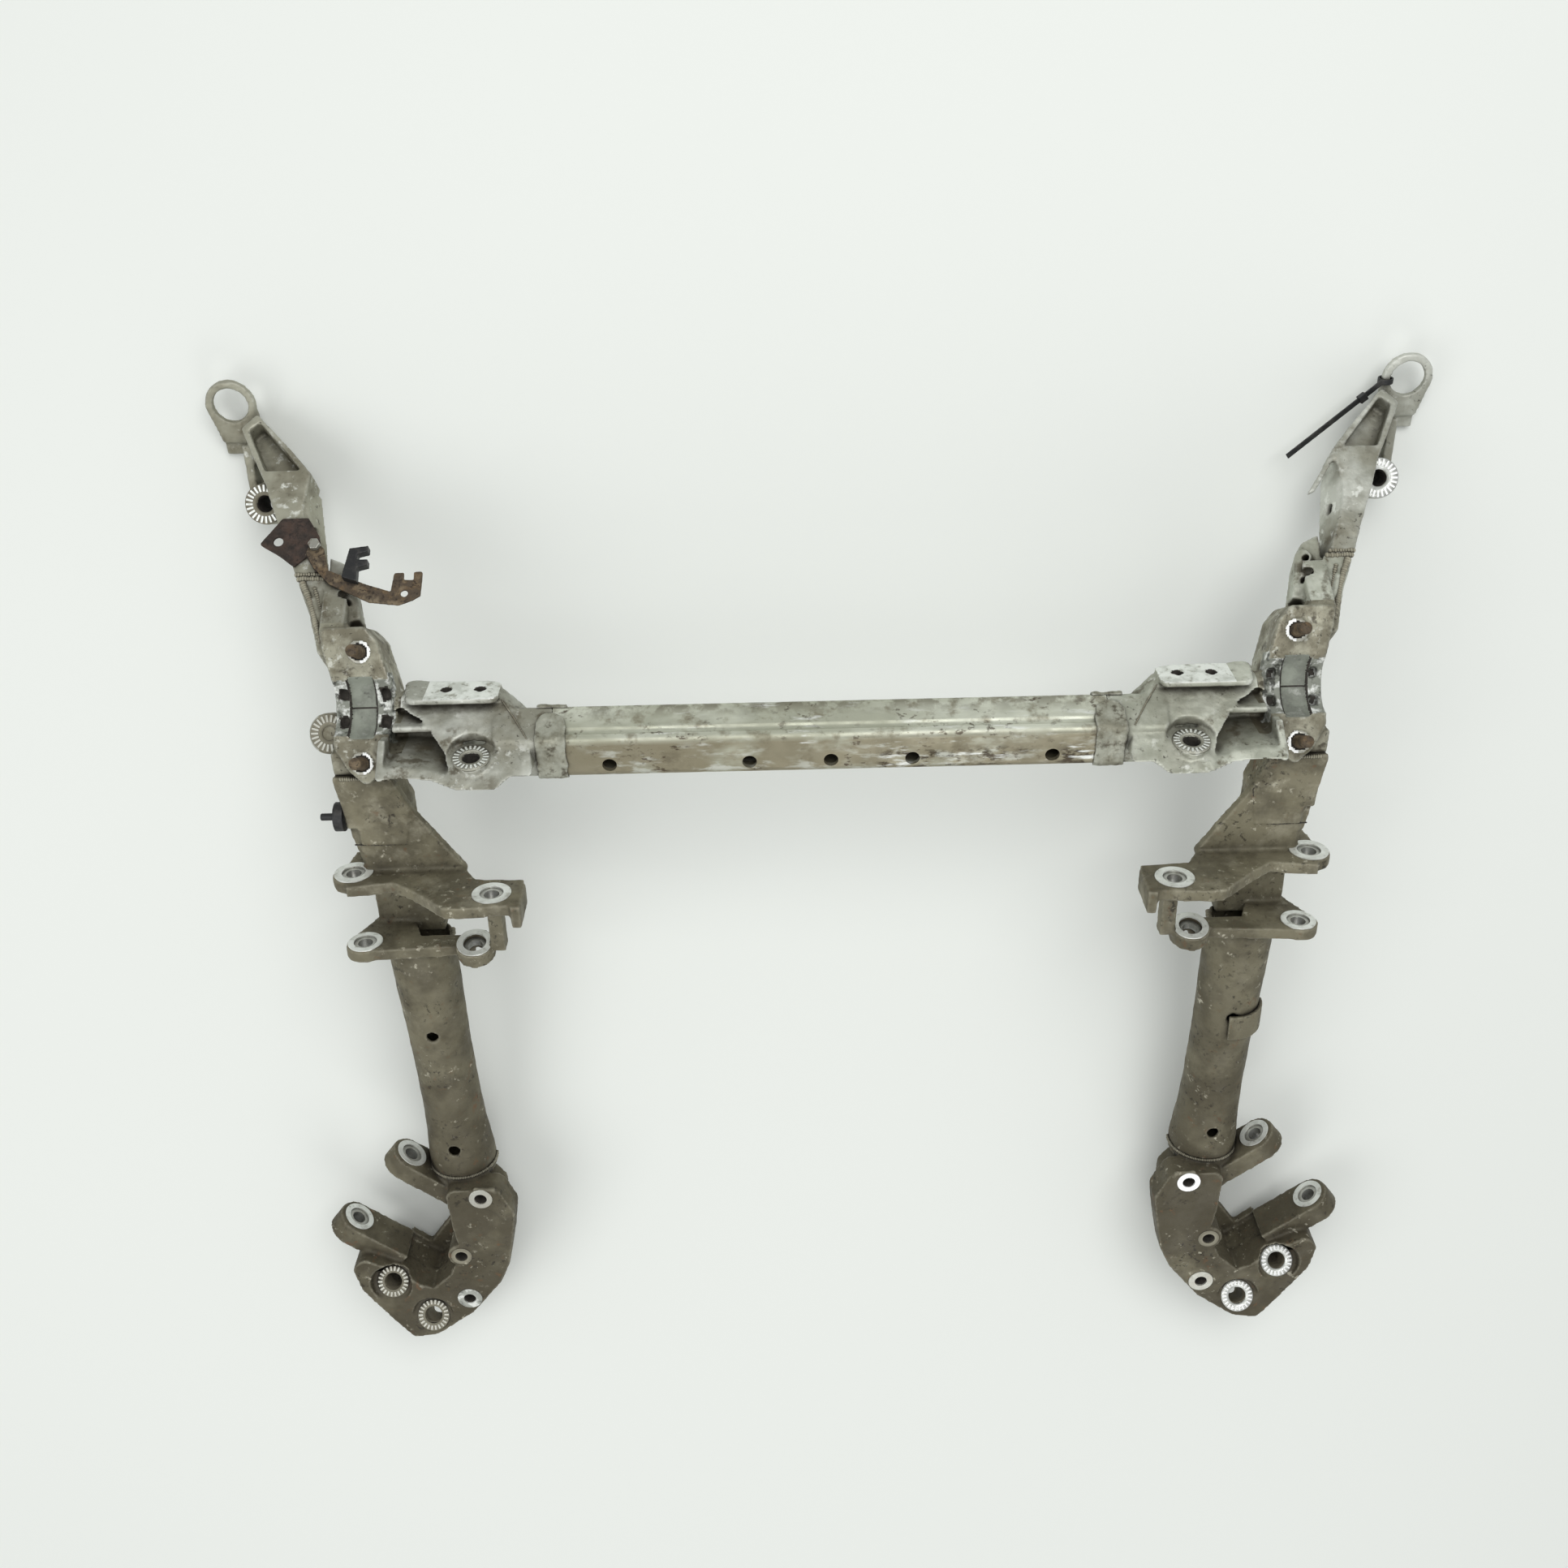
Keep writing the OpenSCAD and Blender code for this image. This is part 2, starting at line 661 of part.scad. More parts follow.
// Rear casting: flanged shell with a round collar for the tube, a fork with two lugs and the bolt seats
rear_points = [
    [342, 28], [378, 1], [402, rear_end_y], [416, 18], [443, 60], [448, 86], [438, 98], [407, 83],
    [388, 65], [376, 60], [358, 77], [346, 105], [350, 135], [352, 178], [304, 178], [291, 150],
    [296, 118], [302, 88], [312, 66]
];
rear_back_points = [
    [348, 36], [378, 10], [402, rear_end_y], [416, 18], [438, 60], [440, 84], [407, 80],
    [388, 65], [376, 58], [356, 77], [344, 105], [350, 135], [350, 160], [316, 160],
    [306, 146], [306, 118], [312, 88], [320, 70]
];
web_points = [[338, 110], [350, 72], [376, 48], [394, 56], [404, 84], [386, 69], [366, 97], [352, 112]];
pad_points = [[334, 165], [325, 182], [307, 180], [299, 142], [312, 156]];

module fork_lug(at, t, reach) {
    on_fork(at) rotate([90, 0, 0]) linear_extrude(t) {
        circle(fork_r);
        translate([-reach, -fork_r]) square([reach, 2 * fork_r]);
    }
    on_fork(at) rotate([-90, 0, 0]) cylinder(r = fork_r - 3, h = 1);
}

module rear_shell() {
    difference() {
        union() {
            facing_down(0, rear_face_t) rounded(rear_points, rear_round);
            facing_down(-past, rear_depth - past) rounded(rear_back_points, rear_round - 2);
            facing_down(-rear_depth + 8, 8) polygon(web_points);
            facing_down(1.5, 4) polygon(pad_points);
            fork_lug(front_lug, fork_t, 58);
            fork_lug(rear_lug, rear_lug_t, 56);
            for (at = [hole_b, hole_c])
                translate([at[0], at[1], -rear_face_t]) cylinder(d = rear_hole_d + 14, h = rear_face_t + 1);
        }
        at_side_end() cylinder(r = flare_r + 0.3, h = 60);
    }
    at_side_end() {
        translate([0, 0, -8]) cylinder(r = flare_r, h = 8);
        translate([0, 0, -10]) cylinder(r = flare_r - side_wall - 0.5, h = 18);
    }
}

module rear_node(side) {
    color(dirty) laid() on_side(side) difference() {
        rear_shell();
        difference() {
            facing_down(-14, rear_depth) rounded(inset(rear_back_points, wall), 2);
            for (at = rear_bolts)
                translate(at) rotate([-rear_bolt_tilt, 0, 0])
                    translate([0, 0, -90]) cylinder(d = rear_column_d, h = 90);
        }
        for (at = rear_bolts)
            translate(at) rotate([-rear_bolt_tilt, 0, 0]) {
                drill(rear_bolt_d, 90);
                cylinder(d = rear_seat_d + 8, h = 40);
            }
        for (at = [hole_a, hole_b, hole_c])
            translate([at[0], at[1], 1]) drill(rear_hole_d, 40);
        on_fork(front_lug) rotate([-90, 0, 0]) drill(sleeve_d + 2 * fit_gap, fork_t + past);
        on_fork(rear_lug) rotate([-90, 0, 0]) drill(sleeve_d + 2 * fit_gap, rear_lug_t + past);
    }
}

// Studs and sleeves
module clamp_studs(side) {
    color(rusty) laid() on_side(side) on_seat()
        for (y = [0, stud_pitch])
            translate([seat_x, y, 0]) {
                translate([0, 0, -stud_in]) cylinder(d = shank_d, h = stud_in + stud_boss_h);
                cylinder(d = stud_d, h = stud_out);
            }
}

module sleeve(length) {
    difference() {
        translate([0, 0, -length]) cylinder(d = sleeve_d, h = length);
        drill(sleeve_bore, length + past);
    }
}

module link_sleeves(side) {
    color(steel) laid() on_side(side) {
        at_link_eyes() sleeve(shelf_t);
        translate(low_boss) rotate([-90 + low_boss_tilt, 0, 0])
            translate([0, 0, -low_sleeve_in]) sleeve(low_boss_len - low_ledge - low_sleeve_in);
    }
}

module fork_sleeves(side) {
    color(steel) laid() on_side(side) {
        on_fork(front_lug) rotate([-90, 0, 0]) sleeve(fork_t);
        on_fork(rear_lug) rotate([-90, 0, 0]) sleeve(rear_lug_t);
    }
}

// Brackets and clips on the left side, drawn on the right and mirrored
arm_bracket_points = [
    [403, 58], [410, 56], [418, 70], [428, 61], [440, 71], [457, 82], [440, 105], [419, 105], [409, 88]
];
hose_bracket_points = [
    [341, 24], [365, 27], [398, 44], [412, 60], [418, 72], [414, 84], [404, 76], [399, 56], [366, 42],
    [348, 36], [346, 52], [323, 53], [324, 32], [330, 28]
];
cable_clip_points = [
    [386, 46], [381, 71], [366, 73], [366, 68], [374, 66], [375, 61], [366, 61], [366, 56], [374, 54], [374, 42]
];

module arm_bracket() {
    color(rusty) laid() on_side(-1) on_arm() linear_extrude(sheet_t) difference() {
        rounded(arm_bracket_points, 1.5);
        translate([442, 84]) circle(d = arm_bracket_hole);
    }
}

module hose_bracket() {
    color(rusty) laid() on_side(-1) on_arm()
        translate([0, 0, sheet_t]) linear_extrude(sheet_t) difference() {
        rounded(hose_bracket_points, 1.5);
        translate([337, 34]) circle(d = 6);
        translate([330, 46]) square([8, 12]);
    }
}

module bracket_bolt() {
    color(steel) laid() on_side(-1) on_arm()
        translate([411, 78, 2 * sheet_t]) cylinder(d = 10, h = 5, $fn = 6);
}

module cable_clip() {
    color(black) laid() on_side(-1) on_arm() translate([0, 0, 2 * sheet_t]) linear_extrude(8)
        polygon(cable_clip_points);
}

module side_clip() {
    color(black) laid() on_side(-1) translate([393.5, 550, -32]) rotate([0, 90, 0]) {
        cylinder(d = 24, h = 8);
        translate([0, 0, 8]) cylinder(d = 6, h = 12);
    }
}

module tube_pad() {
    color(dirty) laid() on_side(1) translate([side_x - 4, 328, side_z]) intersection() {
        translate([-4, -12, 0]) cube([38, 24, 40]);
        rotate([90, 0, 0]) difference() {
            cylinder(r = side_r + 5, h = 40, center = true);
            cylinder(r = side_r + 1.6, h = 50, center = true);
        }
    }
}

// Cable tie: loop round the eye's ring, head and straight tail
module cable_tie() {
    loop_r = 5;
    strap = 1.4;
    head_at = 18;
    tail = 99;
    color(black) laid() on_side(1) on_eye() translate([eye_x - eye_d / 2 - eye_ring / 2, -2, -eye_t / 2]) {
        rotate([90, 0, 0]) rotate_extrude() translate([loop_r, -tie_w / 2]) square([strap, tie_w]);
        translate([-loop_r + 0.5, tie_w / 2, 3]) rotate([0, -14, 215]) {
            cube([tail, tie_w, strap]);
            translate([head_at, -1, -1.5]) cube([7, tie_w + 2, 5]);
        }
    }
}

cross_tube();
tube_collar(-1);  // left_tube_collar
tube_collar(1);  // right_tube_collar
front_node(-1);  // left_front_node
front_node(1);  // right_front_node
front_arm(-1);  // left_front_arm
front_arm(1);  // right_front_arm
link_bracket(-1);  // left_link_bracket
link_bracket(1);  // right_link_bracket
side_tube(-1);  // left_side_tube
side_tube(1);  // right_side_tube
rear_node(-1);  // left_rear_node
rear_node(1);  // right_rear_node
clamp_studs(-1);  // left_clamp_studs
clamp_studs(1);  // right_clamp_studs
link_sleeves(-1);  // left_link_sleeves
link_sleeves(1);  // right_link_sleeves
fork_sleeves(-1);  // left_fork_sleeves
fork_sleeves(1);  // right_fork_sleeves
arm_bracket();
hose_bracket();
bracket_bolt();
cable_clip();
side_clip();
tube_pad();
cable_tie();
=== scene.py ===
"""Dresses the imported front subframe: cast skins, weld metal, serrated seats, threads, road film and rust."""

from __future__ import annotations

import logging
import math
from dataclasses import dataclass, replace
from enum import Enum
from functools import cached_property

import bmesh
import bpy
from bmesh.types import BMesh, BMVert
from bpy.types import Material, Mesh, NodesModifier, NodeSocket, NodeTree, Object
from mathutils import Matrix, Vector

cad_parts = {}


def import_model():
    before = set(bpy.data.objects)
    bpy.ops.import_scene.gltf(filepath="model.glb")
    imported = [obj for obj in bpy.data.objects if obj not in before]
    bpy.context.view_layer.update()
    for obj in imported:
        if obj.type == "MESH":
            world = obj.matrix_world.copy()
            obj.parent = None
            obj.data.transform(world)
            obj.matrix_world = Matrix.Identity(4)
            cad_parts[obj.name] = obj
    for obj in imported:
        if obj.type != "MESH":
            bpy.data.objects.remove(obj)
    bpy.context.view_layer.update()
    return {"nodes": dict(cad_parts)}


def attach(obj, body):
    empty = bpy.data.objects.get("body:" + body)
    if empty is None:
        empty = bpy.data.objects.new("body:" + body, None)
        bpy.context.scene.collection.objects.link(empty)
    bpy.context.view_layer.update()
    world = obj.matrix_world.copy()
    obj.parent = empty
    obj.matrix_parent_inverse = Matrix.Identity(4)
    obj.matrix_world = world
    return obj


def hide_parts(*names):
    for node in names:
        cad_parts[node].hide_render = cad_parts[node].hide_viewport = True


LOG = logging.getLogger("subframe")
MM = 0.001
BODY = "root"
# Socket numbers of the colour inputs and the colour output of a mix node.
COLOR_A, COLOR_B, COLOR_OUT = 6, 7, 2
# How fast a noise's share above a limit falls as the limit rises.
NOISE_SPREAD = 0.0765
# Values of a noise, of pointiness and of open sky between which a layer goes from none to all.
GROUP_RANGE = (0.45, 0.6)
GLOSS_RANGE = (0.35, 0.65)
EDGE_RANGE = (0.52, 0.59)
SKY_RANGE = (0.3, 0.95)
# Rays that look for the open sky at each place.
SKY_SAMPLES = 5


class Side(Enum):
    """The two sides of the car, as the sign of x."""

    LEFT = -1
    RIGHT = 1

    @property
    def word(self) -> str:
        """The side's name as the frame's nodes use it."""
        return self.name.lower()


class Axis(Enum):
    """An axis of the frame, as its number."""

    X = 0
    Y = 1
    Z = 2


class Slot(Enum):
    """Material slots of the record."""

    WELD = "weld_bead"
    CAST = "cast_aluminium"
    DIRTY = "dirty_aluminium"
    ZINC = "zinc_plated_steel"
    RUST = "rusty_steel"
    PLASTIC = "black_plastic"


@dataclass(frozen=True)
class RestPose:
    """How the part lies: the car's axes turned until the eyes and the rear castings touch the floor."""

    eye_y: float = 834.0
    eye_rise: float = 232.0
    eye_tilt: float = 5.7
    eye_out_r: float = 21.0
    step_back: float = 44.0
    step_t: float = 10.0
    rear_end_y: float = -2.0
    rear_depth: float = 60.0

    def matrix(self) -> Matrix:
        """Turns and lifts the car's axes, in millimetres, into the frame, in metres.

        Returns:
            The matrix from car axes to the frame.
        """
        front_z = -self.eye_rise - self.step_back * math.tan(math.radians(self.eye_tilt)) - self.step_t
        run = self.eye_y - self.step_back - self.rear_end_y
        pitch = math.atan((-self.rear_depth - front_z) / run)
        lift = -self.rear_end_y * math.sin(pitch) + self.rear_depth * math.cos(pitch)
        reach = (self.eye_y + self.eye_out_r) * math.cos(pitch) + self.eye_rise * math.sin(pitch)
        middle = (reach + self.rear_end_y * math.cos(pitch)) / 2
        laid = Matrix.Translation((0, -middle, lift)) @ Matrix.Rotation(pitch, 4, "X")
        return Matrix.Scale(MM, 4) @ laid


REST = RestPose().matrix()


def place(at: tuple = (0, 0, 0), tilt: float = 0.0, turn: float = 0.0, side: Side = Side.RIGHT) -> Matrix:
    """A local frame in car axes, mirrored for the left side.

    Args:
        at: Origin of the local frame in car millimetres, as on the right side.
        tilt: Turn about the car's x axis, in degrees.
        turn: Turn about the car's z axis, in degrees.
        side: The side that the piece sits on.

    Returns:
        The matrix from local millimetres to the frame, in metres.
    """
    mirror = Matrix.Diagonal((side.value, 1, 1, 1))
    spin = Matrix.Rotation(math.radians(turn), 4, "Z") @ Matrix.Rotation(math.radians(tilt), 4, "X")
    return REST @ mirror @ Matrix.Translation(at) @ spin


@dataclass(frozen=True)
class Places:
    """Where things are on the right side, in car millimetres. A bolt has its seat's middle and tilt."""

    seat_origin: tuple = (0.0, 604.0, -20.0)
    seat_tilt: float = -27.0
    arm_origin: tuple = (0.0, 690.0, -75.0)
    arm_tilt: float = -47.5
    seat_x: float = 370.0
    stud_pitch: float = 88.0
    fork_angle: float = 38.0
    lugs: tuple = ((385.2, 196.0, -32.0), (443.7, 121.2, -32.0))
    link_eyes: tuple = ((391.0, 503.0, -20.0), (273.0, 503.0, 17.0), (391.0, 435.0, -20.0))
    plate_holes: tuple = ((320.0, 170.0, 1.5), (345.0, 101.0, 1.0), (343.0, 48.0, 1.0))
    side_top: tuple = (351.0, 424.0, -45.0)
    side_end: tuple = (341.0, 181.0, -45.0)
    tab_y: float = 653.1
    arm_bolt: tuple = ((463, 764, -185), -18)
    node_bolt: tuple = ((280, 616, -2), -78)
    rear_bolts: tuple = (((415, 62, -9), -28), ((380, 26, -1), -28))

    def seat(self, side: Side) -> Matrix:
        """The bush seat's frame."""
        return place(self.seat_origin, self.seat_tilt, side=side)

    def arm(self, side: Side) -> Matrix:
        """The arm's frame."""
        return place(self.arm_origin, self.arm_tilt, side=side)


AT = Places()


def linear(code: str) -> tuple[float, float, float, float]:
    """Turns an sRGB hex colour to linear light.

    Args:
        code: Colour as "#rrggbb".

    Returns:
        Red, green, blue and alpha, linear.
    """
    parts = [int(code[i : i + 2], 16) / 255 for i in (1, 3, 5)]
    light = [c / 12.92 if c <= 0.04045 else ((c + 0.055) / 1.055) ** 2.4 for c in parts]
    return light[0], light[1], light[2], 1.0


def add_node(
    tree: NodeTree, kind: str, inputs: dict | None = None, out: int | str = 0, **settings: object
) -> NodeSocket | None:
    """Adds a node, sets it and links it.

    Args:
        tree: Tree that gets the node.
        kind: Blender's name of the node type.
        inputs: Input name or number to a value, to the socket that feeds it, or to a list of sockets.
        out: Name or number of the output that is wanted.
        settings: Attributes to set on the node.

    Returns:
        The wanted output, or None where the node has no outputs.
    """
    node = tree.nodes.new(kind)
    for name, value in settings.items():
        setattr(node, name, value)
    for key, value in (inputs or {}).items():
        if isinstance(value, (NodeSocket, list)):
            for socket in value if isinstance(value, list) else [value]:
                tree.links.new(socket, node.inputs[key])
        else:
            node.inputs[key].default_value = value
    return node.outputs[out] if node.outputs else None


def new_surface(name: str) -> tuple[Material, NodeTree]:
    """Makes a material with an empty tree.

    Args:
        name: Name of the material.

    Returns:
        The material and its tree.
    """
    material = bpy.data.materials.new(name)
    material.use_nodes = True
    material.node_tree.nodes.clear()
    return material, material.node_tree


def new_shape_tree(name: str, inputs: dict[str, str]) -> NodeTree:
    """Makes a geometry tree with named inputs and a geometry output.

    Args:
        name: Name of the tree.
        inputs: Input name to its kind of socket.

    Returns:
        The tree.
    """
    tree = bpy.data.node_groups.new(name, "GeometryNodeTree")
    for label, kind in inputs.items():
        tree.interface.new_socket(label, in_out="INPUT", socket_type=f"NodeSocket{kind}")
    tree.interface.new_socket("Geometry", in_out="OUTPUT", socket_type="NodeSocketGeometry")
    return tree


def set_inputs(modifier: NodesModifier, values: dict) -> None:
    """Gives a geometry nodes modifier its inputs.

    Args:
        modifier: The modifier, with its tree.
        values: Input name to its value.
    """
    for item in modifier.node_group.interface.items_tree:
        if item.item_type == "SOCKET" and item.in_out == "INPUT" and item.name in values:
            modifier[item.identifier] = values[item.name]


def link_mesh(name: str, mesh: Mesh) -> Object:
    """Puts a mesh into the scene as an object at the origin.

    Args:
        name: Name of the object.
        mesh: Its mesh.

    Returns:
        The object.
    """
    obj = bpy.data.objects.new(name, mesh)
    bpy.context.scene.collection.objects.link(obj)
    return obj


def dress(obj: Object, finish: Finish) -> None:
    """Gives a piece one finish all over."""
    obj.data.materials.clear()
    obj.data.materials.append(finish.material)


def settle(obj: Object, finish: Finish | None, slot: Slot, *nodes: str) -> None:
    """Gives a finished piece its finish and body, and hides the nodes that it stands for.

    Args:
        obj: The finished piece.
        finish: Its finish, or None where its faces have their own.
        slot: Material slot of the record; not used.
        nodes: Frame nodes that the piece stands for.
    """
    if finish:
        dress(obj, finish)
    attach(obj, BODY)
    if nodes:
        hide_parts(*nodes)
    LOG.info("%s: %d faces", obj.name, len(obj.data.polygons))


def mesh_from(bm: BMesh, name: str, smooth: bool = True) -> Object:
    """Turns a bmesh in frame metres into an object.

    Args:
        bm: The shape; it is freed.
        name: Name of the object.
        smooth: Whether faces are shaded smooth.

    Returns:
        The object.
    """
    bmesh.ops.recalc_face_normals(bm, faces=bm.faces)
    mesh = bpy.data.meshes.new(name)
    bm.to_mesh(mesh)
    bm.free()
    if smooth:
        mesh.shade_smooth()
    return link_mesh(name, mesh)


def evaluated_mesh(obj: Object) -> Mesh:
    """A plain mesh of an object with its modifiers applied."""
    graph = bpy.context.evaluated_depsgraph_get()
    return bpy.data.meshes.new_from_object(obj.evaluated_get(graph))


def bake_modifiers(obj: Object) -> None:
    """Replaces an object's mesh by its evaluated form and removes its modifiers.

    Args:
        obj: The object.
    """
    mesh = evaluated_mesh(obj)
    mesh.name = obj.name
    obj.modifiers.clear()
    obj.data = mesh


@dataclass(frozen=True)
class Zone:
    """A part of the frame where a stain lies: none of it at clear_mm, all of it at full_mm."""

    axis: Axis
    clear_mm: float
    full_mm: float


@dataclass(frozen=True)
class Stain:
    """One layer of colour over a surface, in blotches of a real size in millimetres."""

    color: str
    blotch_mm: float
    cover: float
    strength: float
    soft: float = 0.08
    stretch: tuple = (1.0, 1.0, 1.0)
    group_mm: float = 0.0
    zone: Zone | None = None

    def lay_on(self, tree: NodeTree, spot: NodeSocket, color: NodeSocket | tuple) -> NodeSocket:
        """Adds the stain over a colour.

        Args:
            tree: The material's tree.
            spot: The place on the surface, in frame metres.
            color: The colour below, as a socket or a value.

        Returns:
            The stained colour.
        """
        drawn = add_node(tree, "ShaderNodeMapping", {"Vector": spot, "Scale": self.stretch})
        grain = {"Vector": drawn, "Scale": 1 / (self.blotch_mm * MM), "Detail": 4.0, "Roughness": 0.62}
        blotch = add_node(tree, "ShaderNodeTexNoise", grain)
        limit = 0.5 + NOISE_SPREAD * math.log((1 - self.cover) / self.cover)
        edges = {0: blotch, 1: limit - self.soft, 2: limit + self.soft, 4: self.strength}
        share = add_node(tree, "ShaderNodeMapRange", edges)
        for limits in self._limits(tree, spot):
            factors = {0: share, 1: limits}
            share = add_node(tree, "ShaderNodeMath", factors, operation="MULTIPLY", use_clamp=True)
        layers = {0: share, COLOR_A: color, COLOR_B: linear(self.color)}
        return add_node(tree, "ShaderNodeMix", layers, COLOR_OUT, data_type="RGBA")

    def _limits(self, tree: NodeTree, spot: NodeSocket) -> list[NodeSocket]:
        """What keeps the stain to its groups and its zone.

        Args:
            tree: The material's tree.
            spot: The place on the surface, in frame metres.

        Returns:
            Shares from 0 to 1 that the stain is multiplied by.
        """
        found = []
        if self.group_mm:
            grain = {"Vector": spot, "Scale": 1 / (self.group_mm * MM), "Detail": 2.0}
            found.append((add_node(tree, "ShaderNodeTexNoise", grain), *GROUP_RANGE))
        if self.zone:
            along = add_node(tree, "ShaderNodeSeparateXYZ", {0: spot}, self.zone.axis.value)
            found.append((along, self.zone.clear_mm * MM, self.zone.full_mm * MM))
        return [add_node(tree, "ShaderNodeMapRange", dict(enumerate(limits))) for limits in found]


@dataclass(frozen=True)
class Hollow:
    """Dirt and painted shade in corners, up to reach_mm from the next wall."""

    reach_mm: float
    color: str
    strength: float
    ragged: float = 0.4
    ragged_mm: float = 7.0

    def lay_on(self, tree: NodeTree, spot: NodeSocket, color: NodeSocket | tuple) -> NodeSocket:
        """Adds the dirt and the painted shade over a colour.

        Args:
            tree: The material's tree.
            spot: The place on the surface, in frame metres.
            color: The colour below, as a socket or a value.

        Returns:
            The soiled and shaded colour.
        """
        # Painted shade: places that see less open sky are painted darker.
        reach = {"Distance": self.reach_mm * MM}
        sky = add_node(tree, "ShaderNodeAmbientOcclusion", reach, "AO", samples=SKY_SAMPLES)
        grain = {"Vector": spot, "Scale": 1 / (self.ragged_mm * MM), "Detail": 3.0}
        rags = {0: add_node(tree, "ShaderNodeTexNoise", grain), 1: self.ragged, 2: -self.ragged / 2}
        torn = add_node(tree, "ShaderNodeMath", rags, operation="MULTIPLY_ADD")
        sky = add_node(tree, "ShaderNodeMath", {0: sky, 1: torn}, operation="ADD")
        low, high = SKY_RANGE
        share = add_node(tree, "ShaderNodeMapRange", {0: sky, 1: low, 2: high, 3: self.strength, 4: 0.0})
        layers = {0: share, COLOR_A: color, COLOR_B: linear(self.color)}
        return add_node(tree, "ShaderNodeMix", layers, COLOR_OUT, data_type="RGBA")


@dataclass(frozen=True)
class Finish:
    """A real surface: its own colour and the stains on it. Each kind of surface adds its gloss and grain."""

    name: str
    base: str
    stains: tuple[Stain, ...]

    @cached_property
    def material(self) -> Material:
        """Makes the material at its first use.

        Returns:
            The material.
        """
        material, tree = new_surface(self.name)
        spot = add_node(tree, "ShaderNodeTexCoord", out="Object")
        color = linear(self.base)
        for stain in self.stains:
            color = stain.lay_on(tree, spot, color)
        shader = add_node(tree, "ShaderNodeBsdfPrincipled", self.shade(tree, spot, color))
        add_node(tree, "ShaderNodeOutputMaterial", {"Surface": shader})
        return material

    def shade(self, tree: NodeTree, spot: NodeSocket, color: NodeSocket) -> dict:
        """Works out what feeds the shader.

        Args:
            tree: The material's tree.
            spot: The place on the surface, in frame metres.
            color: The stained colour.

        Returns:
            The shader's inputs by name.
        """
        raise NotImplementedError


@dataclass(frozen=True)
class AgedMetal(Finish):
    """A metal surface with dirt and painted shade in its hollows, bright edges from wear and painted
    highlights, and a rough skin.
    """

    hollows: tuple[Hollow, ...] = ()
    edge: str = "#d9dbd4"
    edge_wear_and_highlight: float = 0.35
    metallic: float = 0.4
    rough_low: float = 0.42
    rough_high: float = 0.68
    rough_mm: float = 18.0
    relief: tuple = ((2.2, 0.12), (9.0, 0.25))
    relief_strength: float = 0.7

    def shade(self, tree: NodeTree, spot: NodeSocket, color: NodeSocket) -> dict:
        """Adds bright edges of wear and painted highlight, dirt and painted shade, uneven gloss and relief.

        Args:
            tree: The material's tree.
            spot: The place on the surface, in frame metres.
            color: The stained colour.

        Returns:
            The shader's inputs by name.
        """
        # Bright ridges: wear, and painted highlights.
        ridge = add_node(tree, "ShaderNodeNewGeometry", out="Pointiness")
        low, high = EDGE_RANGE
        bright_edge = add_node(tree, "ShaderNodeMapRange", {0: ridge, 1: low, 2: high, 4: self.edge_wear_and_highlight})
        layers = {0: bright_edge, COLOR_A: color, COLOR_B: linear(self.edge)}
        color = add_node(tree, "ShaderNodeMix", layers, COLOR_OUT, data_type="RGBA")
        # Dirt and painted shade in the hollows.
        for hollow in self.hollows:
            color = hollow.lay_on(tree, spot, color)
        grain = {"Vector": spot, "Scale": 1 / (self.rough_mm * MM), "Detail": 4.0}
        dull = add_node(tree, "ShaderNodeTexNoise", grain)
        gloss = dict(enumerate((dull, *GLOSS_RANGE, self.rough_low, self.rough_high)))
        rough = add_node(tree, "ShaderNodeMapRange", gloss)
        inputs = {"Base Color": color, "Metallic": self.metallic, "Roughness": rough}
        for size_mm, depth_mm in self.relief:
            grain = {"Vector": spot, "Scale": 1 / (size_mm * MM), "Detail": 3.0}
            height = add_node(tree, "ShaderNodeTexNoise", grain)
            feed = {"Strength": self.relief_strength, "Distance": depth_mm * MM, "Height": height}
            if "Normal" in inputs:
                feed["Normal"] = inputs["Normal"]
            inputs["Normal"] = add_node(tree, "ShaderNodeBump", feed)
        return inputs


@dataclass(frozen=True)
class MouldedPlastic(Finish):
    """Moulded plastic with the fine grain of its mould, lightened by road dust in patches."""

    roughness: float = 0.48
    grain_mm: float = 0.9
    grain_depth_mm: float = 0.05
    grain_strength: float = 0.5

    def shade(self, tree: NodeTree, spot: NodeSocket, color: NodeSocket) -> dict:
        """Adds the grain.

        Args:
            tree: The material's tree.
            spot: The place on the surface, in frame metres.
            color: The stained colour.

        Returns:
            The shader's inputs by name.
        """
        grain = {"Vector": spot, "Scale": 1 / (self.grain_mm * MM), "Detail": 2.0}
        height = add_node(tree, "ShaderNodeTexNoise", grain)
        feed = {"Strength": self.grain_strength, "Distance": self.grain_depth_mm * MM, "Height": height}
        bump = add_node(tree, "ShaderNodeBump", feed)
        return {"Base Color": color, "Roughness": self.roughness, "Normal": bump}


# Die-cast aluminium, oxidised: matt olive grey with cloudy tones, road film, scuffs and dark pits.
CAST = AgedMetal(
    "die_cast_aluminium",
    "#c3c5bb",
    (
        Stain("#96978b", 38, 0.5, 0.85, soft=0.09),
        Stain("#7d7a68", 80, 0.38, 0.8, soft=0.1),
        Stain("#5c5543", 15, 0.27, 0.8, soft=0.05, group_mm=60),
        Stain("#e4e6de", 9, 0.18, 0.8, soft=0.05, group_mm=50),
        Stain("#38332a", 4, 0.14, 0.85, soft=0.04, group_mm=40),
    ),
    (Hollow(26, "#5d5746", 0.72), Hollow(9, "#2a261f", 0.9)),
    edge="#e0e2db",
    edge_wear_and_highlight=0.5,
    relief=((2.4, 0.3), (10.0, 0.7)),
)
# The same casting metal under a film of road dirt.
FILMED = replace(
    CAST,
    name="filmed_die_cast_aluminium",
    base="#a09f8d",
    edge="#c3c4b8",
    stains=(Stain("#75715f", 60, 0.5, 0.85, soft=0.1), *CAST.stains[2:]),
)
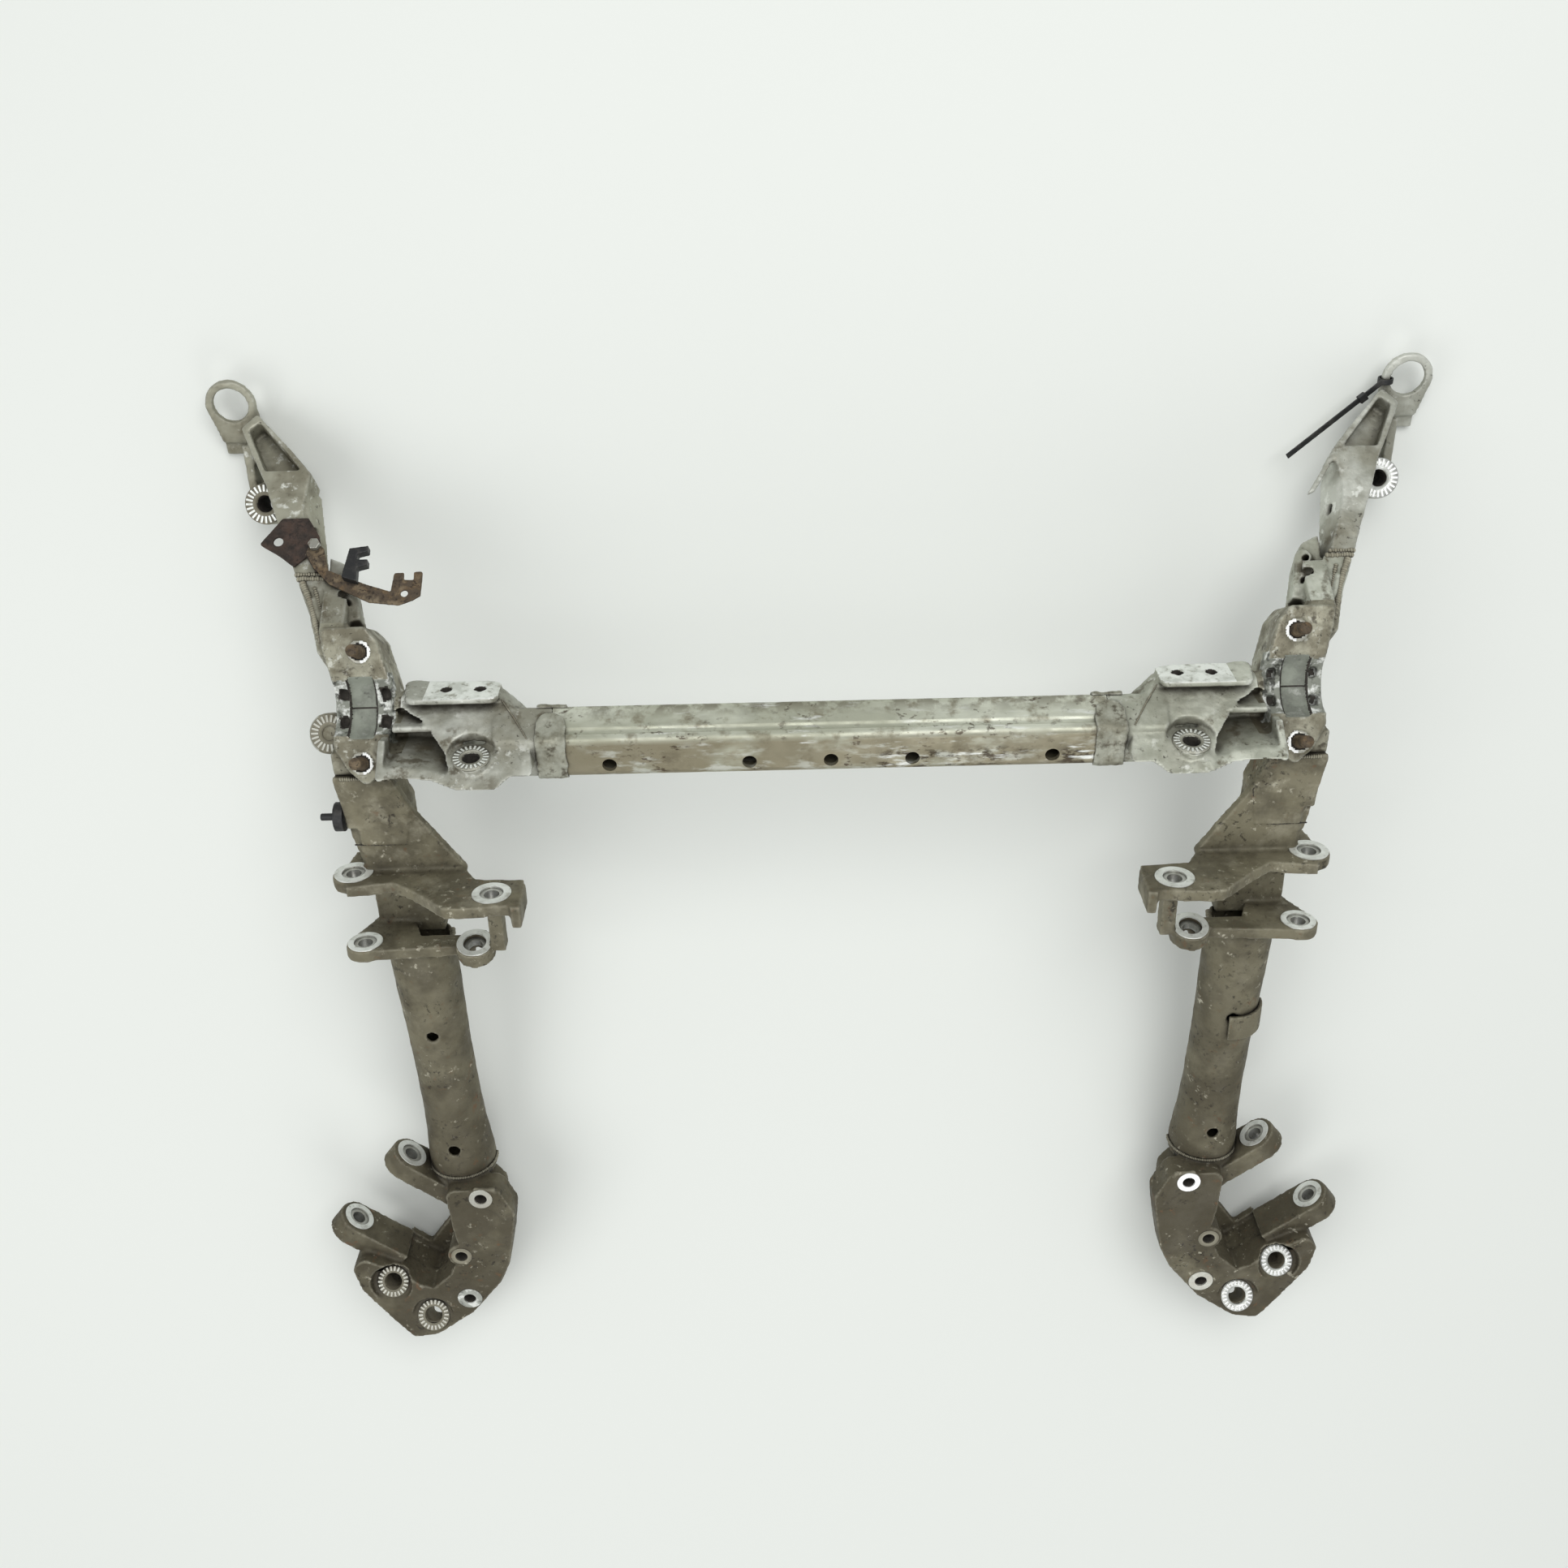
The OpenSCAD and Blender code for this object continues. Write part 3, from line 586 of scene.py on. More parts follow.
# The right node's casting metal: less road film, so paler.
PALE_CAST = replace(
    CAST,
    name="pale_die_cast_aluminium",
    base="#c6c9bb",
    stains=(
        replace(CAST.stains[0], color="#9c9f90"),
        replace(CAST.stains[1], strength=0.4),
        *CAST.stains[2:],
    ),
)
# The arms' casting metal: lighter dirt and painted shade in their channels.
ARM_CAST = replace(
    CAST,
    name="rinsed_die_cast_aluminium",
    hollows=(Hollow(20, "#6d6857", 0.45), Hollow(8, "#2a261f", 0.85)),
)
# The left arm's metal: lighter hollows as well, but with a film of road dirt.
ARM_FILMED = replace(
    ARM_CAST, name="rinsed_filmed_aluminium", base="#a3a291", edge="#c9cabf", stains=FILMED.stains
)
# The ends of the bush seats: greasy grime in dark runs over the casting, paler where it has flaked.
GRIMED = replace(
    CAST,
    name="grimed_die_cast_aluminium",
    base="#989684",
    edge="#c9cabf",
    stains=(
        Stain("#6a6553", 22, 0.5, 0.85),
        Stain("#3f392c", 9, 0.24, 0.85, soft=0.05, group_mm=34),
        Stain("#c4c5ba", 7, 0.2, 0.8, soft=0.05, group_mm=30),
        Stain("#26221b", 3, 0.12, 0.85, soft=0.04),
    ),
)
LOW_BAND = Zone(Axis.Y, 171.0, 164.0)
HOLE_ROW = Zone(Axis.Y, 158.0, 151.0)
TOP_EDGE = Zone(Axis.Y, 182.0, 191.0)
# Extruded aluminium: drawn along the tube, pale scrapes along it, brown film and flakes on its lower band.
EXTRUDED = AgedMetal(
    "extruded_aluminium",
    "#c6c9b9",
    (
        Stain("#a3a592", 40, 0.48, 0.8, stretch=(0.35, 1.0, 1.0)),
        Stain("#7d745b", 34, 0.8, 0.85, soft=0.1, stretch=(0.5, 1.0, 1.0), zone=LOW_BAND),
        Stain("#bfc1b6", 9, 0.24, 0.85, soft=0.05, stretch=(0.3, 1.0, 1.0), group_mm=70, zone=LOW_BAND),
        Stain("#3b3122", 6, 0.34, 0.9, soft=0.05, stretch=(0.5, 1.0, 1.0), group_mm=60, zone=HOLE_ROW),
        Stain("#5f5845", 12, 0.5, 0.75, soft=0.07, zone=TOP_EDGE),
        Stain("#77705b", 14, 0.2, 0.7, soft=0.06, stretch=(0.7, 0.6, 1.0)),
        Stain("#e6e9e4", 7, 0.15, 0.85, soft=0.05, stretch=(0.2, 1.0, 1.0), group_mm=60),
        Stain("#46392b", 5, 0.18, 0.85, soft=0.04, stretch=(0.6, 1.0, 1.0), group_mm=45),
    ),
    (Hollow(10, "#4d4636", 0.8),),
    edge_wear_and_highlight=0.0,
    metallic=0.5,
    rough_low=0.36,
    rough_high=0.6,
    relief=((1.6, 0.1), (14.0, 0.4)),
)
# Aluminium weld metal: lumpy, dull between its ripples, with soot and painted shade at its toes and pale flecks
# painted as highlights.
WELD = AgedMetal(
    "aluminium_weld_metal",
    "#9fa092",
    (
        Stain("#7a7867", 16, 0.5, 0.85, soft=0.09),
        # Pale flecks painted as highlights.
        Stain("#c9cbc1", 6, 0.1, 0.7, soft=0.06, group_mm=18),
        Stain("#4a4436", 8, 0.2, 0.8, soft=0.06),
    ),
    (Hollow(8, "#3a3429", 0.95),),
    edge="#c9cbc2",
    edge_wear_and_highlight=0.45,
    relief=((2.0, 0.3), (7.0, 0.8)),
)
# Machined aluminium: bright and nearly clean, a little dulled in patches.
MACHINED = AgedMetal(
    "machined_aluminium",
    "#e9ece6",
    (Stain("#bcbfb6", 12, 0.42, 0.7, soft=0.1), Stain("#85816f", 6, 0.14, 0.7, soft=0.06)),
    (Hollow(3, "#6a6553", 0.8),),
    edge="#f0f2ee",
    metallic=0.55,
    rough_low=0.32,
    rough_high=0.5,
    relief=((0.9, 0.06),),
)
# Machined aluminium that a bolt's flange has kept clean: nearly white. It is also painted as a highlight down
# one side of each stud boss.
BRIGHT = replace(
    MACHINED,
    name="bright_machined_aluminium",
    base="#fbfcfa",
    stains=(Stain("#dfe1dc", 10, 0.3, 0.6, soft=0.1),),
    edge="#ffffff",
    metallic=0.2,
)
# Machined aluminium that has taken on road film: grey, with little shine.
DULLED = replace(MACHINED, name="dulled_machined_aluminium", base="#a7a497", edge="#cdcdc3", metallic=0.4)
# Cast seat with the chalky print of a rubber bush and the black it has left.
CHALKED = AgedMetal(
    "chalked_cast_aluminium",
    "#85887e",
    (Stain("#e6e8e3", 9, 0.34, 0.9, soft=0.06), Stain("#35362f", 8, 0.26, 0.9, soft=0.05)),
    (Hollow(9, "#33332c", 0.85),),
    metallic=0.25,
    rough_low=0.6,
    rough_high=0.8,
)
# The middle of the seat, rubbed smooth and grey by the bush.
RUBBED = replace(
    CHALKED,
    name="rubbed_cast_aluminium",
    base="#92978b",
    stains=(Stain("#70736a", 24, 0.5, 0.8), Stain("#b7bab1", 12, 0.16, 0.6), Stain("#45453e", 5, 0.08, 0.8)),
)
# Cast aluminium under baked-on road dirt: olive brown, darker to the rear, rust dust and bare flecks.
SOILED = AgedMetal(
    "road_soiled_cast_aluminium",
    "#79745f",
    (
        Stain("#565140", 34, 0.5, 0.85, soft=0.09),
        Stain("#9f9b87", 24, 0.2, 0.55, soft=0.07, zone=Zone(Axis.Y, -130.0, 140.0)),
        Stain("#464030", 70, 0.8, 0.85, soft=0.12, zone=Zone(Axis.Y, 60.0, -300.0)),
        Stain("#6a4f37", 9, 0.13, 0.75, soft=0.05, group_mm=45),
        Stain("#2e291f", 5, 0.2, 0.85, soft=0.04, group_mm=30),
        Stain("#bab6a3", 6, 0.13, 0.8, soft=0.04, group_mm=40),
    ),
    (Hollow(24, "#463f30", 0.55), Hollow(9, "#1f1b14", 0.9)),
    edge="#b0ac99",
    edge_wear_and_highlight=0.55,
    metallic=0.2,
    rough_low=0.56,
    rough_high=0.82,
    relief=((2.4, 0.35), (11.0, 0.8)),
)
# The same metal inside the body bolts' bores: dry grey-brown dust.
DUSTY = replace(
    SOILED, name="dust_lined_cast_aluminium", base="#8d8775", stains=SOILED.stains[:1], hollows=()
)
# Weld metal under the same road dirt: paler, with finer lumps.
SOILED_WELD = replace(SOILED, name="road_soiled_weld_metal", base="#8b8774", relief=((2.0, 0.3),))
# Nearly black, crumbly, no gloss: painted shade inside bores, pockets, seat lines and stud rings, and dirt
# along joints.
DARK_DIRT_AND_SHADE = AgedMetal(
    "packed_dirt_and_painted_shade",
    "#2d2a24",
    (Stain("#45403a", 4, 0.4, 0.8), Stain("#1a1814", 2, 0.3, 0.8)),
    edge="#45403a",
    edge_wear_and_highlight=0.2,
    metallic=0.0,
    rough_low=0.8,
    rough_high=0.95,
    relief=((1.2, 0.2),),
)
# Zinc-plated steel: grey gloss, yellowed and dull in patches, brown where the plating has gone.
ZINC = AgedMetal(
    "zinc_plated_steel",
    "#b9bab4",
    (Stain("#98968a", 8, 0.5, 0.7), Stain("#6d5a43", 4, 0.14, 0.7, soft=0.05)),
    (Hollow(12, "#2b2822", 0.95),),
    metallic=0.7,
    rough_low=0.3,
    rough_high=0.5,
    relief=((1.2, 0.05),),
)
# Rusted steel: brown scale with a dull bloom and dark pits, no gloss.
RUST = AgedMetal(
    "rusted_steel",
    "#4d4234",
    (
        Stain("#67543b", 7, 0.4, 0.8, soft=0.07),
        Stain("#847964", 14, 0.2, 0.65),
        Stain("#2b231b", 3, 0.25, 0.85, soft=0.05),
    ),
    (Hollow(5, "#211a14", 0.8),),
    edge="#86755d",
    metallic=0.1,
    rough_low=0.74,
    rough_high=0.92,
    rough_mm=5.0,
    relief=((1.1, 0.25), (4.0, 0.4)),
)
# Old dark rust, nearly black-brown, as on thin hot-rolled sheet.
DARK_RUST = replace(
    RUST,
    name="dark_rusted_sheet_steel",
    base="#332a24",
    stains=(
        Stain("#493930", 9, 0.4, 0.75),
        Stain("#211b17", 4, 0.3, 0.75, soft=0.05),
        Stain("#776c5d", 3, 0.06, 0.7, soft=0.04),
    ),
    edge="#5d4f43",
)
# Glass-filled nylon, moulded black: satin with grey dust.
NYLON = MouldedPlastic("black_moulded_nylon", "#161718", (Stain("#413f3b", 8, 0.3, 0.5),))


@dataclass(frozen=True)
class Skin:
    """How a node's sharp mesh turns into a soft closed surface, in millimetres."""

    voxel: float
    rounds: int
    lump_depth: float = 0.0
    lump_size: float = 10.0
    merge_gap: float = 0.001
    round_factor: float = 0.5
    lump_layers: int = 2

    def wrap(self, node: Object, name: str) -> Object:
        """Makes the soft copy of a node.

        Args:
            node: The frame's node.
            name: Name of the new piece.

        Returns:
            The soft piece.
        """
        bm = bmesh.new()
        bm.from_mesh(node.data)
        bmesh.ops.remove_doubles(bm, verts=bm.verts, dist=self.merge_gap * MM)
        obj = mesh_from(bm, name)
        skin = obj.modifiers.new("skin", "REMESH")
        skin.mode = "VOXEL"
        skin.voxel_size = self.voxel * MM
        skin.use_smooth_shade = True
        soft = obj.modifiers.new("soft", "SMOOTH")
        soft.factor = self.round_factor
        soft.iterations = self.rounds
        if self.lump_depth:
            clouds = bpy.data.textures.new(f"{name}_lumps", "CLOUDS")
            clouds.noise_scale = self.lump_size * MM
            clouds.noise_depth = self.lump_layers
            lumps = obj.modifiers.new("lumps", "DISPLACE")
            lumps.texture = clouds
            lumps.texture_coords = "LOCAL"
            lumps.strength = self.lump_depth * MM
            lumps.mid_level = 0.5
        bake_modifiers(obj)
        return obj


@dataclass(frozen=True)
class Patch:
    """Faces of a casting with a finish of their own.

    They lie inside a box, or the round in it, and look one way if that is given.
    """

    matrix: Matrix
    low: tuple
    high: tuple
    finish: Finish
    facing: tuple | None = None
    least: float = 0.6
    is_round: bool = False

    @classmethod
    def around(
        cls, matrix: Matrix, middle: tuple, half: tuple, z: tuple, finish: Finish, is_round: bool = False
    ) -> Patch:
        """A patch that is centred on a middle.

        Args:
            matrix: From the box's millimetres to the frame.
            middle: Middle of the box, x and y.
            half: Half of the box's width and length.
            z: Bottom and top of the box.
            finish: The faces' finish.
            is_round: Whether only the round in the box counts.

        Returns:
            The patch.
        """
        low = (middle[0] - half[0], middle[1] - half[1], z[0])
        high = (middle[0] + half[0], middle[1] + half[1], z[1])
        return cls(matrix, low, high, finish, is_round=is_round)

    def paint(self, obj: Object) -> None:
        """Gives the faces their finish.

        Args:
            obj: The casting, with its main material set.
        """
        number = len(obj.data.materials)
        obj.data.materials.append(self.finish.material)
        inverse = self.matrix.inverted()
        turned = inverse.to_3x3()
        for face in obj.data.polygons:
            spot = inverse @ face.center
            if not all(low <= v <= high for low, v, high in zip(self.low, spot, self.high)):
                continue
            if self.is_round and not self._in_round(spot):
                continue
            if self.facing is None or (turned @ face.normal).normalized().dot(Vector(self.facing)) > self.least:
                face.material_index = number

    def _in_round(self, spot: Vector) -> bool:
        """Whether a place in the box's millimetres lies in the upright cylinder that fits the box."""
        middle = (Vector(self.low) + Vector(self.high)) / 2
        return (spot - middle).xy.length <= (self.high[0] - self.low[0]) / 2


@dataclass
class Castings:
    """The castings, with the soft edges, fillets and slightly uneven faces that a mould gives.

    A cheek is a pocket in a bush seat, painted near black as dirt and shade: its middle, half sizes and turn. A
    bore has its half width, a little over its radius, and its depth.
    little over its radius, and its depth.
    """

    skin: Skin = Skin(1.4, 2, 0.9, 10.0)
    soiled_skin: Skin = Skin(1.5, 2, 1.0, 9.0)
    lobes_low: tuple = (338.0, -25.0, -60.0)
    lobes_high: tuple = (412.0, 112.0, 2.9)
    seat_half: tuple = (25.5, 28.0)
    seat_z: tuple = (-18.0, -0.6)
    band_half_w: float = 10.5
    cheeks: tuple = (
        (-18, -11, 4.6, 5.2, 9),
        (-18, 11, 3.7, 5.6, -12),
        (15.5, -11, 3.3, 5.2, -14),
        (15, 11, 4.3, 4.3, 11),
    )
    cheek_top: float = -1.0
    cheek_size_left: float = 1.0
    cheek_size_right: float = 0.55
    # Half width of the painted shade lines along the band's edges and across its middle; the edge lines end
    # line_short before the seat's ends.
    line_half: float = 0.9
    line_short: float = 4.0
    stud_z: tuple = (0.9, 3.0)
    # Radius of the painted shadow ring round each stud.
    stud_gap_r: float = 7.0
    stud_boss_r: float = 9.0
    # The painted highlight down one side of each stud boss stops this far from its middle.
    stud_shine: float = 1.5
    tab_x: tuple = (256.0, 318.0)
    tab_z: tuple = (-80.0, -26.0)
    tab_hole_x: tuple = (276.0, 303.0)
    tab_hole_z: float = -50.0
    tab_skin: float = 2.0
    arm_bore: tuple = (7.7, 44.0)
    node_bore: tuple = (7.7, 40.0)
    tab_bore: tuple = (5.2, 6.0)
    rear_bore: tuple = (9.0, 64.0)
    plate_bore: tuple = (6.4, 42.0)
    bore_lip: float = -0.7

    def build(self, nodes: dict) -> None:
        """Makes a soft form of each cast node.

        Args:
            nodes: The frame's node objects by name.
        """
        for side in Side:
            node_metal, arm_metal = (CAST, ARM_FILMED) if side is Side.LEFT else (PALE_CAST, ARM_CAST)
            arm_patches = [self._bore(place(*AT.arm_bolt, side=side), self.arm_bore)]
            looks = (
                ("front_node", self.skin, node_metal, Slot.CAST, self.node_patches(side)),
                ("front_arm", self.skin, arm_metal, Slot.CAST, arm_patches),
                ("link_bracket", self.soiled_skin, SOILED, Slot.DIRTY, []),
                ("rear_node", self.soiled_skin, SOILED, Slot.DIRTY, self.rear_patches(side)),
            )
            for piece, skin, metal, slot, patches in looks:
                name = f"{side.word}_{piece}"
                obj = skin.wrap(nodes[name], f"{name}_casting")
                dress(obj, metal)
                for patch in patches:
                    patch.paint(obj)
                settle(obj, None, slot, name)

    def node_patches(self, side: Side) -> list[Patch]:
        """Lists a front node's worn, machined and dirty faces, with painted shade and painted highlights.

        Args:
            side: The side.

        Returns:
            The bush seat with its band and cheek pockets, the stud faces, the tab's face and the bores.
        """
        seat = AT.seat(side)
        x, y = AT.seat_x, AT.stud_pitch / 2
        long = self.seat_half[1]
        band, line, z = self.band_half_w, self.line_half, self.seat_z
        found = [
            Patch(seat, self.lobes_low, self.lobes_high, GRIMED),
            Patch.around(seat, (x, y), self.seat_half, z, CHALKED),
            Patch.around(seat, (x, y), (band, long), z, RUBBED),
        ]
        size = self.cheek_size_left if side is Side.LEFT else self.cheek_size_right
        # Cheek pockets painted near black: dirt and painted shade.
        for dx, dy, half_x, half_y, turn in self.cheeks:
            turned = Matrix.Rotation(math.radians(turn), 4, "Z")
            cheek = seat @ Matrix.Translation((x + dx, y + dy, 0)) @ turned
            half = (half_x * size, half_y * size)
            found.append(Patch.around(cheek, (0, 0), half, (z[0], self.cheek_top), DARK_DIRT_AND_SHADE))
        # Painted shade: dark lines along the band's edges and across the seat's middle.
        for edge in (x - band, x + band):
            found.append(Patch.around(seat, (edge, y), (line, long - self.line_short), z, DARK_DIRT_AND_SHADE))
        found.append(Patch.around(seat, (x, y), (band + line, line), z, DARK_DIRT_AND_SHADE))
        low, high = self.stud_z
        r, gap = self.stud_boss_r, self.stud_gap_r
        # Each stud boss: a dulled face, a painted highlight down one side and a painted shadow ring round the
        # stud.
        for stud in (0.0, AT.stud_pitch):
            found += [
                Patch.around(seat, (x, stud), (r, r), self.stud_z, DULLED),
                Patch(seat, (x - r, stud - r, low), (x - self.stud_shine, stud + r, high), BRIGHT),
                Patch.around(seat, (x, stud), (gap, gap), self.stud_z, DARK_DIRT_AND_SHADE, is_round=True),
            ]
        low = (self.tab_x[0], AT.tab_y - self.tab_skin, self.tab_z[0])
        high = (self.tab_x[1], AT.tab_y + self.tab_skin, self.tab_z[1])
        found.append(Patch(place(side=side), low, high, MACHINED, (0, 1, 0)))
        for hole_x in self.tab_hole_x:
            mouth = place((hole_x, AT.tab_y, self.tab_hole_z), -90, side=side)
            found.append(self._bore(mouth, self.tab_bore))
        found.append(self._bore(place(*AT.node_bolt, side=side), self.node_bore))
        return found

    def rear_patches(self, side: Side) -> list[Patch]:
        """Lists a rear node's bores: dust in the bolts' bores, painted shade in the plate holes.

        Args:
            side: The side.

        Returns:
            The bores of the body bolts and of the plate holes.
        """
        bolts = [self._bore(place(*bolt, side=side), self.rear_bore, DUSTY) for bolt in AT.rear_bolts]
        return bolts + [self._bore(place(at, side=side), self.plate_bore) for at in AT.plate_holes]

    def _bore(self, mouth: Matrix, bore: tuple, wall_finish: Finish = DARK_DIRT_AND_SHADE) -> Patch:
        """The wall of a bore below its lip, painted near black as shade unless a dust finish is given.

        Args:
            mouth: Frame of the bore's mouth, looking out.
            bore: The bore's half width and depth, in millimetres.
            wall_finish: The wall's finish: painted shade by default, dust for the rear bolts.

        Returns:
            The patch.
        """
        half, deep = bore
        return Patch.around(mouth, (0, 0), (half, half), (-deep, self.bore_lip), wall_finish)


@dataclass
class Tubes:
    """The extruded cross tube, its lumpy weld collars, and the side tubes with their pad."""

    collar_skin: Skin = Skin(0.9, 5, 3.0, 11.0)
    tube_skin: Skin = Skin(1.6, 3, 1.0, 14.0)
    pad_skin: Skin = Skin(1.0, 3, 0.4, 6.0)

    def build(self, nodes: dict) -> None:
        """Makes the collars, side tubes and pad and gives the cross tube and the sleeves their finishes.

        Args:
            nodes: The frame's node objects by name.
        """
        settle(self.pad_skin.wrap(nodes["tube_pad"], "welded_tube_pad"), SOILED, Slot.DIRTY, "tube_pad")
        dress(nodes["cross_tube"], EXTRUDED)
        for side in Side:
            collar, tube = f"{side.word}_tube_collar", f"{side.word}_side_tube"
            settle(self.collar_skin.wrap(nodes[collar], f"{side.word}_weld_collar"), WELD, Slot.WELD, collar)
            settle(self.tube_skin.wrap(nodes[tube], f"{tube}_body"), SOILED, Slot.DIRTY, tube)
            dress(nodes[f"{side.word}_link_sleeves"], ZINC)
            dress(nodes[f"{side.word}_fork_sleeves"], ZINC)


@dataclass(frozen=True)
class SeatSpot:
    """One serrated bolt seat: its frame, its radii in millimetres with its teeth, and its finishes."""

    name: str
    matrix: Matrix
    size: tuple
    face: Finish
    groove: Finish


@dataclass
class SerratedSeats:
    """Machined bolt seats with radial teeth that bite into the car's body.

    Real teeth are finer; these are as coarse as they need to be to show in the picture. A size is the inner
    and outer radius and the number of teeth.
    """

    arm_size: tuple = (7.2, 16.6, 24)
    node_size: tuple = (7.2, 14.8, 22)
    rear_size: tuple = (8.2, 15.0, 22)
    boss_size: tuple = (6.0, 15.6, 22)
    boss_at: tuple = (403, 25, -30)
    tooth_h: float = 0.9
    tooth_w: float = 1.7
    rim: float = 0.8
    disc_down: float = 1.5
    disc_up: float = 0.6
    tooth_share: float = 0.6
    ring_steps: int = 72

    def spots(self) -> list[SeatSpot]:
        """Lists the seats of both sides.

        Returns:
            The seats.
        """
        found = []
        for side in Side:
            word = side.word
            arm_looks, rear_looks = (BRIGHT, MACHINED), (BRIGHT, MACHINED)
            if side is Side.LEFT:
                arm_looks, rear_looks = (MACHINED, SOILED), (DULLED, SOILED)
            arm, node = place(*AT.arm_bolt, side=side), place(*AT.node_bolt, side=side)
            found.append(SeatSpot(f"{word}_front_bolt_seat", arm, self.arm_size, *arm_looks))
            found.append(SeatSpot(f"{word}_node_bolt_seat", node, self.node_size, MACHINED, FILMED))
            for name, bolt in zip(("outer", "inner"), AT.rear_bolts):
                rear = place(*bolt, side=side)
                found.append(SeatSpot(f"{word}_rear_{name}_seat", rear, self.rear_size, *rear_looks))
        boss = AT.seat(Side.LEFT) @ Matrix.Translation(self.boss_at)
        found.append(SeatSpot("left_boss_seat", boss, self.boss_size, DULLED, SOILED))
        return found

    def build(self) -> None:
        """Makes every seat as a disc with teeth."""
        tree = self._tree()
        for spot in self.spots():
            obj = link_mesh(spot.name, bpy.data.meshes.new(spot.name))
            modifier = obj.modifiers.new("teeth", "NODES")
            modifier.node_group = tree
            inner_r, outer_r, teeth = spot.size
            values = {
                "Inner radius": inner_r * MM,
                "Outer radius": outer_r * MM,
                "Teeth": teeth,
                "Tooth metal": spot.face.material,
                "Groove metal": spot.groove.material,
            }
            set_inputs(modifier, values)
            bake_modifiers(obj)
            obj.data.transform(spot.matrix @ Matrix.Scale(1 / MM, 4))
            if spot.matrix.determinant() < 0:
                obj.data.flip_normals()
            settle(obj, None, Slot.CAST)

    def _tree(self) -> NodeTree:
        """Builds the node tree: a flat ring and a row of teeth round it.

        Returns:
            The tree.
        """
        sockets = {"Inner radius": "Float", "Outer radius": "Float", "Teeth": "Int"}
        sockets |= {"Tooth metal": "Material", "Groove metal": "Material"}
        tree = new_shape_tree("serrated_seat", sockets)
        given = add_node(tree, "NodeGroupInput").node.outputs
        inner, outer, count = given["Inner radius"], given["Outer radius"], given["Teeth"]
        width = add_node(tree, "ShaderNodeMath", {0: outer, 1: inner}, operation="SUBTRACT")
        both = add_node(tree, "ShaderNodeMath", {0: outer, 1: inner}, operation="ADD")
        middle = add_node(tree, "ShaderNodeMath", {0: both, 1: 0.5}, operation="MULTIPLY")
        section = {"Width": width, "Height": (self.disc_up + self.disc_down) * MM}
        profile = add_node(tree, "GeometryNodeCurvePrimitiveQuadrilateral", section)
        circle = {"Resolution": self.ring_steps, "Radius": middle}
        sweep = add_node(tree, "GeometryNodeCurvePrimitiveCircle", circle)
        ring = add_node(tree, "GeometryNodeCurveToMesh", {"Curve": sweep, "Profile Curve": profile})
        sunk = (0, 0, (self.disc_up - self.disc_down) / 2 * MM)
        ring = add_node(tree, "GeometryNodeTransform", {"Geometry": ring, "Translation": sunk})
        reach = add_node(tree, "ShaderNodeMath", {0: width, 1: self.tooth_share}, operation="MULTIPLY")
        size = add_node(tree, "ShaderNodeCombineXYZ", {0: reach, 1: self.tooth_w * MM, 2: self.tooth_h * MM})
        tooth = add_node(tree, "GeometryNodeMeshCube", {"Size": size})
        tip = add_node(tree, "ShaderNodeMath", {0: outer, 1: self.rim * MM}, operation="SUBTRACT")
        half = add_node(tree, "ShaderNodeMath", {0: reach, 1: 0.5}, operation="MULTIPLY")
        tooth_x = add_node(tree, "ShaderNodeMath", {0: tip, 1: half}, operation="SUBTRACT")
        shift = add_node(tree, "ShaderNodeCombineXYZ", {0: tooth_x, 2: self.disc_up * MM})
        tooth = add_node(tree, "GeometryNodeTransform", {"Geometry": tooth, "Translation": shift})
        row = add_node(tree, "GeometryNodeMeshLine", {"Count": count, "Offset": (0, 0, 0)})
        step = add_node(tree, "ShaderNodeMath", {0: math.tau, 1: count}, operation="DIVIDE")
        index = add_node(tree, "GeometryNodeInputIndex")
        angle = add_node(tree, "ShaderNodeMath", {0: index, 1: step}, operation="MULTIPLY")
        turn = add_node(tree, "ShaderNodeCombineXYZ", {2: angle})
        spread = {"Points": row, "Instance": tooth, "Rotation": turn}
        teeth = add_node(tree, "GeometryNodeInstanceOnPoints", spread)
        joined = add_node(tree, "GeometryNodeJoinGeometry", {0: [ring, teeth]})
        real = add_node(tree, "GeometryNodeRealizeInstances", {0: joined})
        spot = add_node(tree, "GeometryNodeInputPosition")
        height = add_node(tree, "ShaderNodeSeparateXYZ", {0: spot}, Axis.Z.value)
        limit = {0: height, 1: (self.disc_up + self.tooth_h / 4) * MM}
        tops = add_node(tree, "FunctionNodeCompare", limit, data_type="FLOAT", operation="GREATER_THAN")
        grooved = {"Geometry": real, "Material": given["Groove metal"]}
        grooved = add_node(tree, "GeometryNodeSetMaterial", grooved)
        topped = {"Geometry": grooved, "Selection": tops, "Material": given["Tooth metal"]}
        add_node(tree, "NodeGroupOutput", {0: add_node(tree, "GeometryNodeSetMaterial", topped)})
        return tree


@dataclass(frozen=True)
class PadRing:
    """A plain machined ring: its frame and radii, in millimetres."""

    matrix: Matrix
    inner_r: float
    outer_r: float


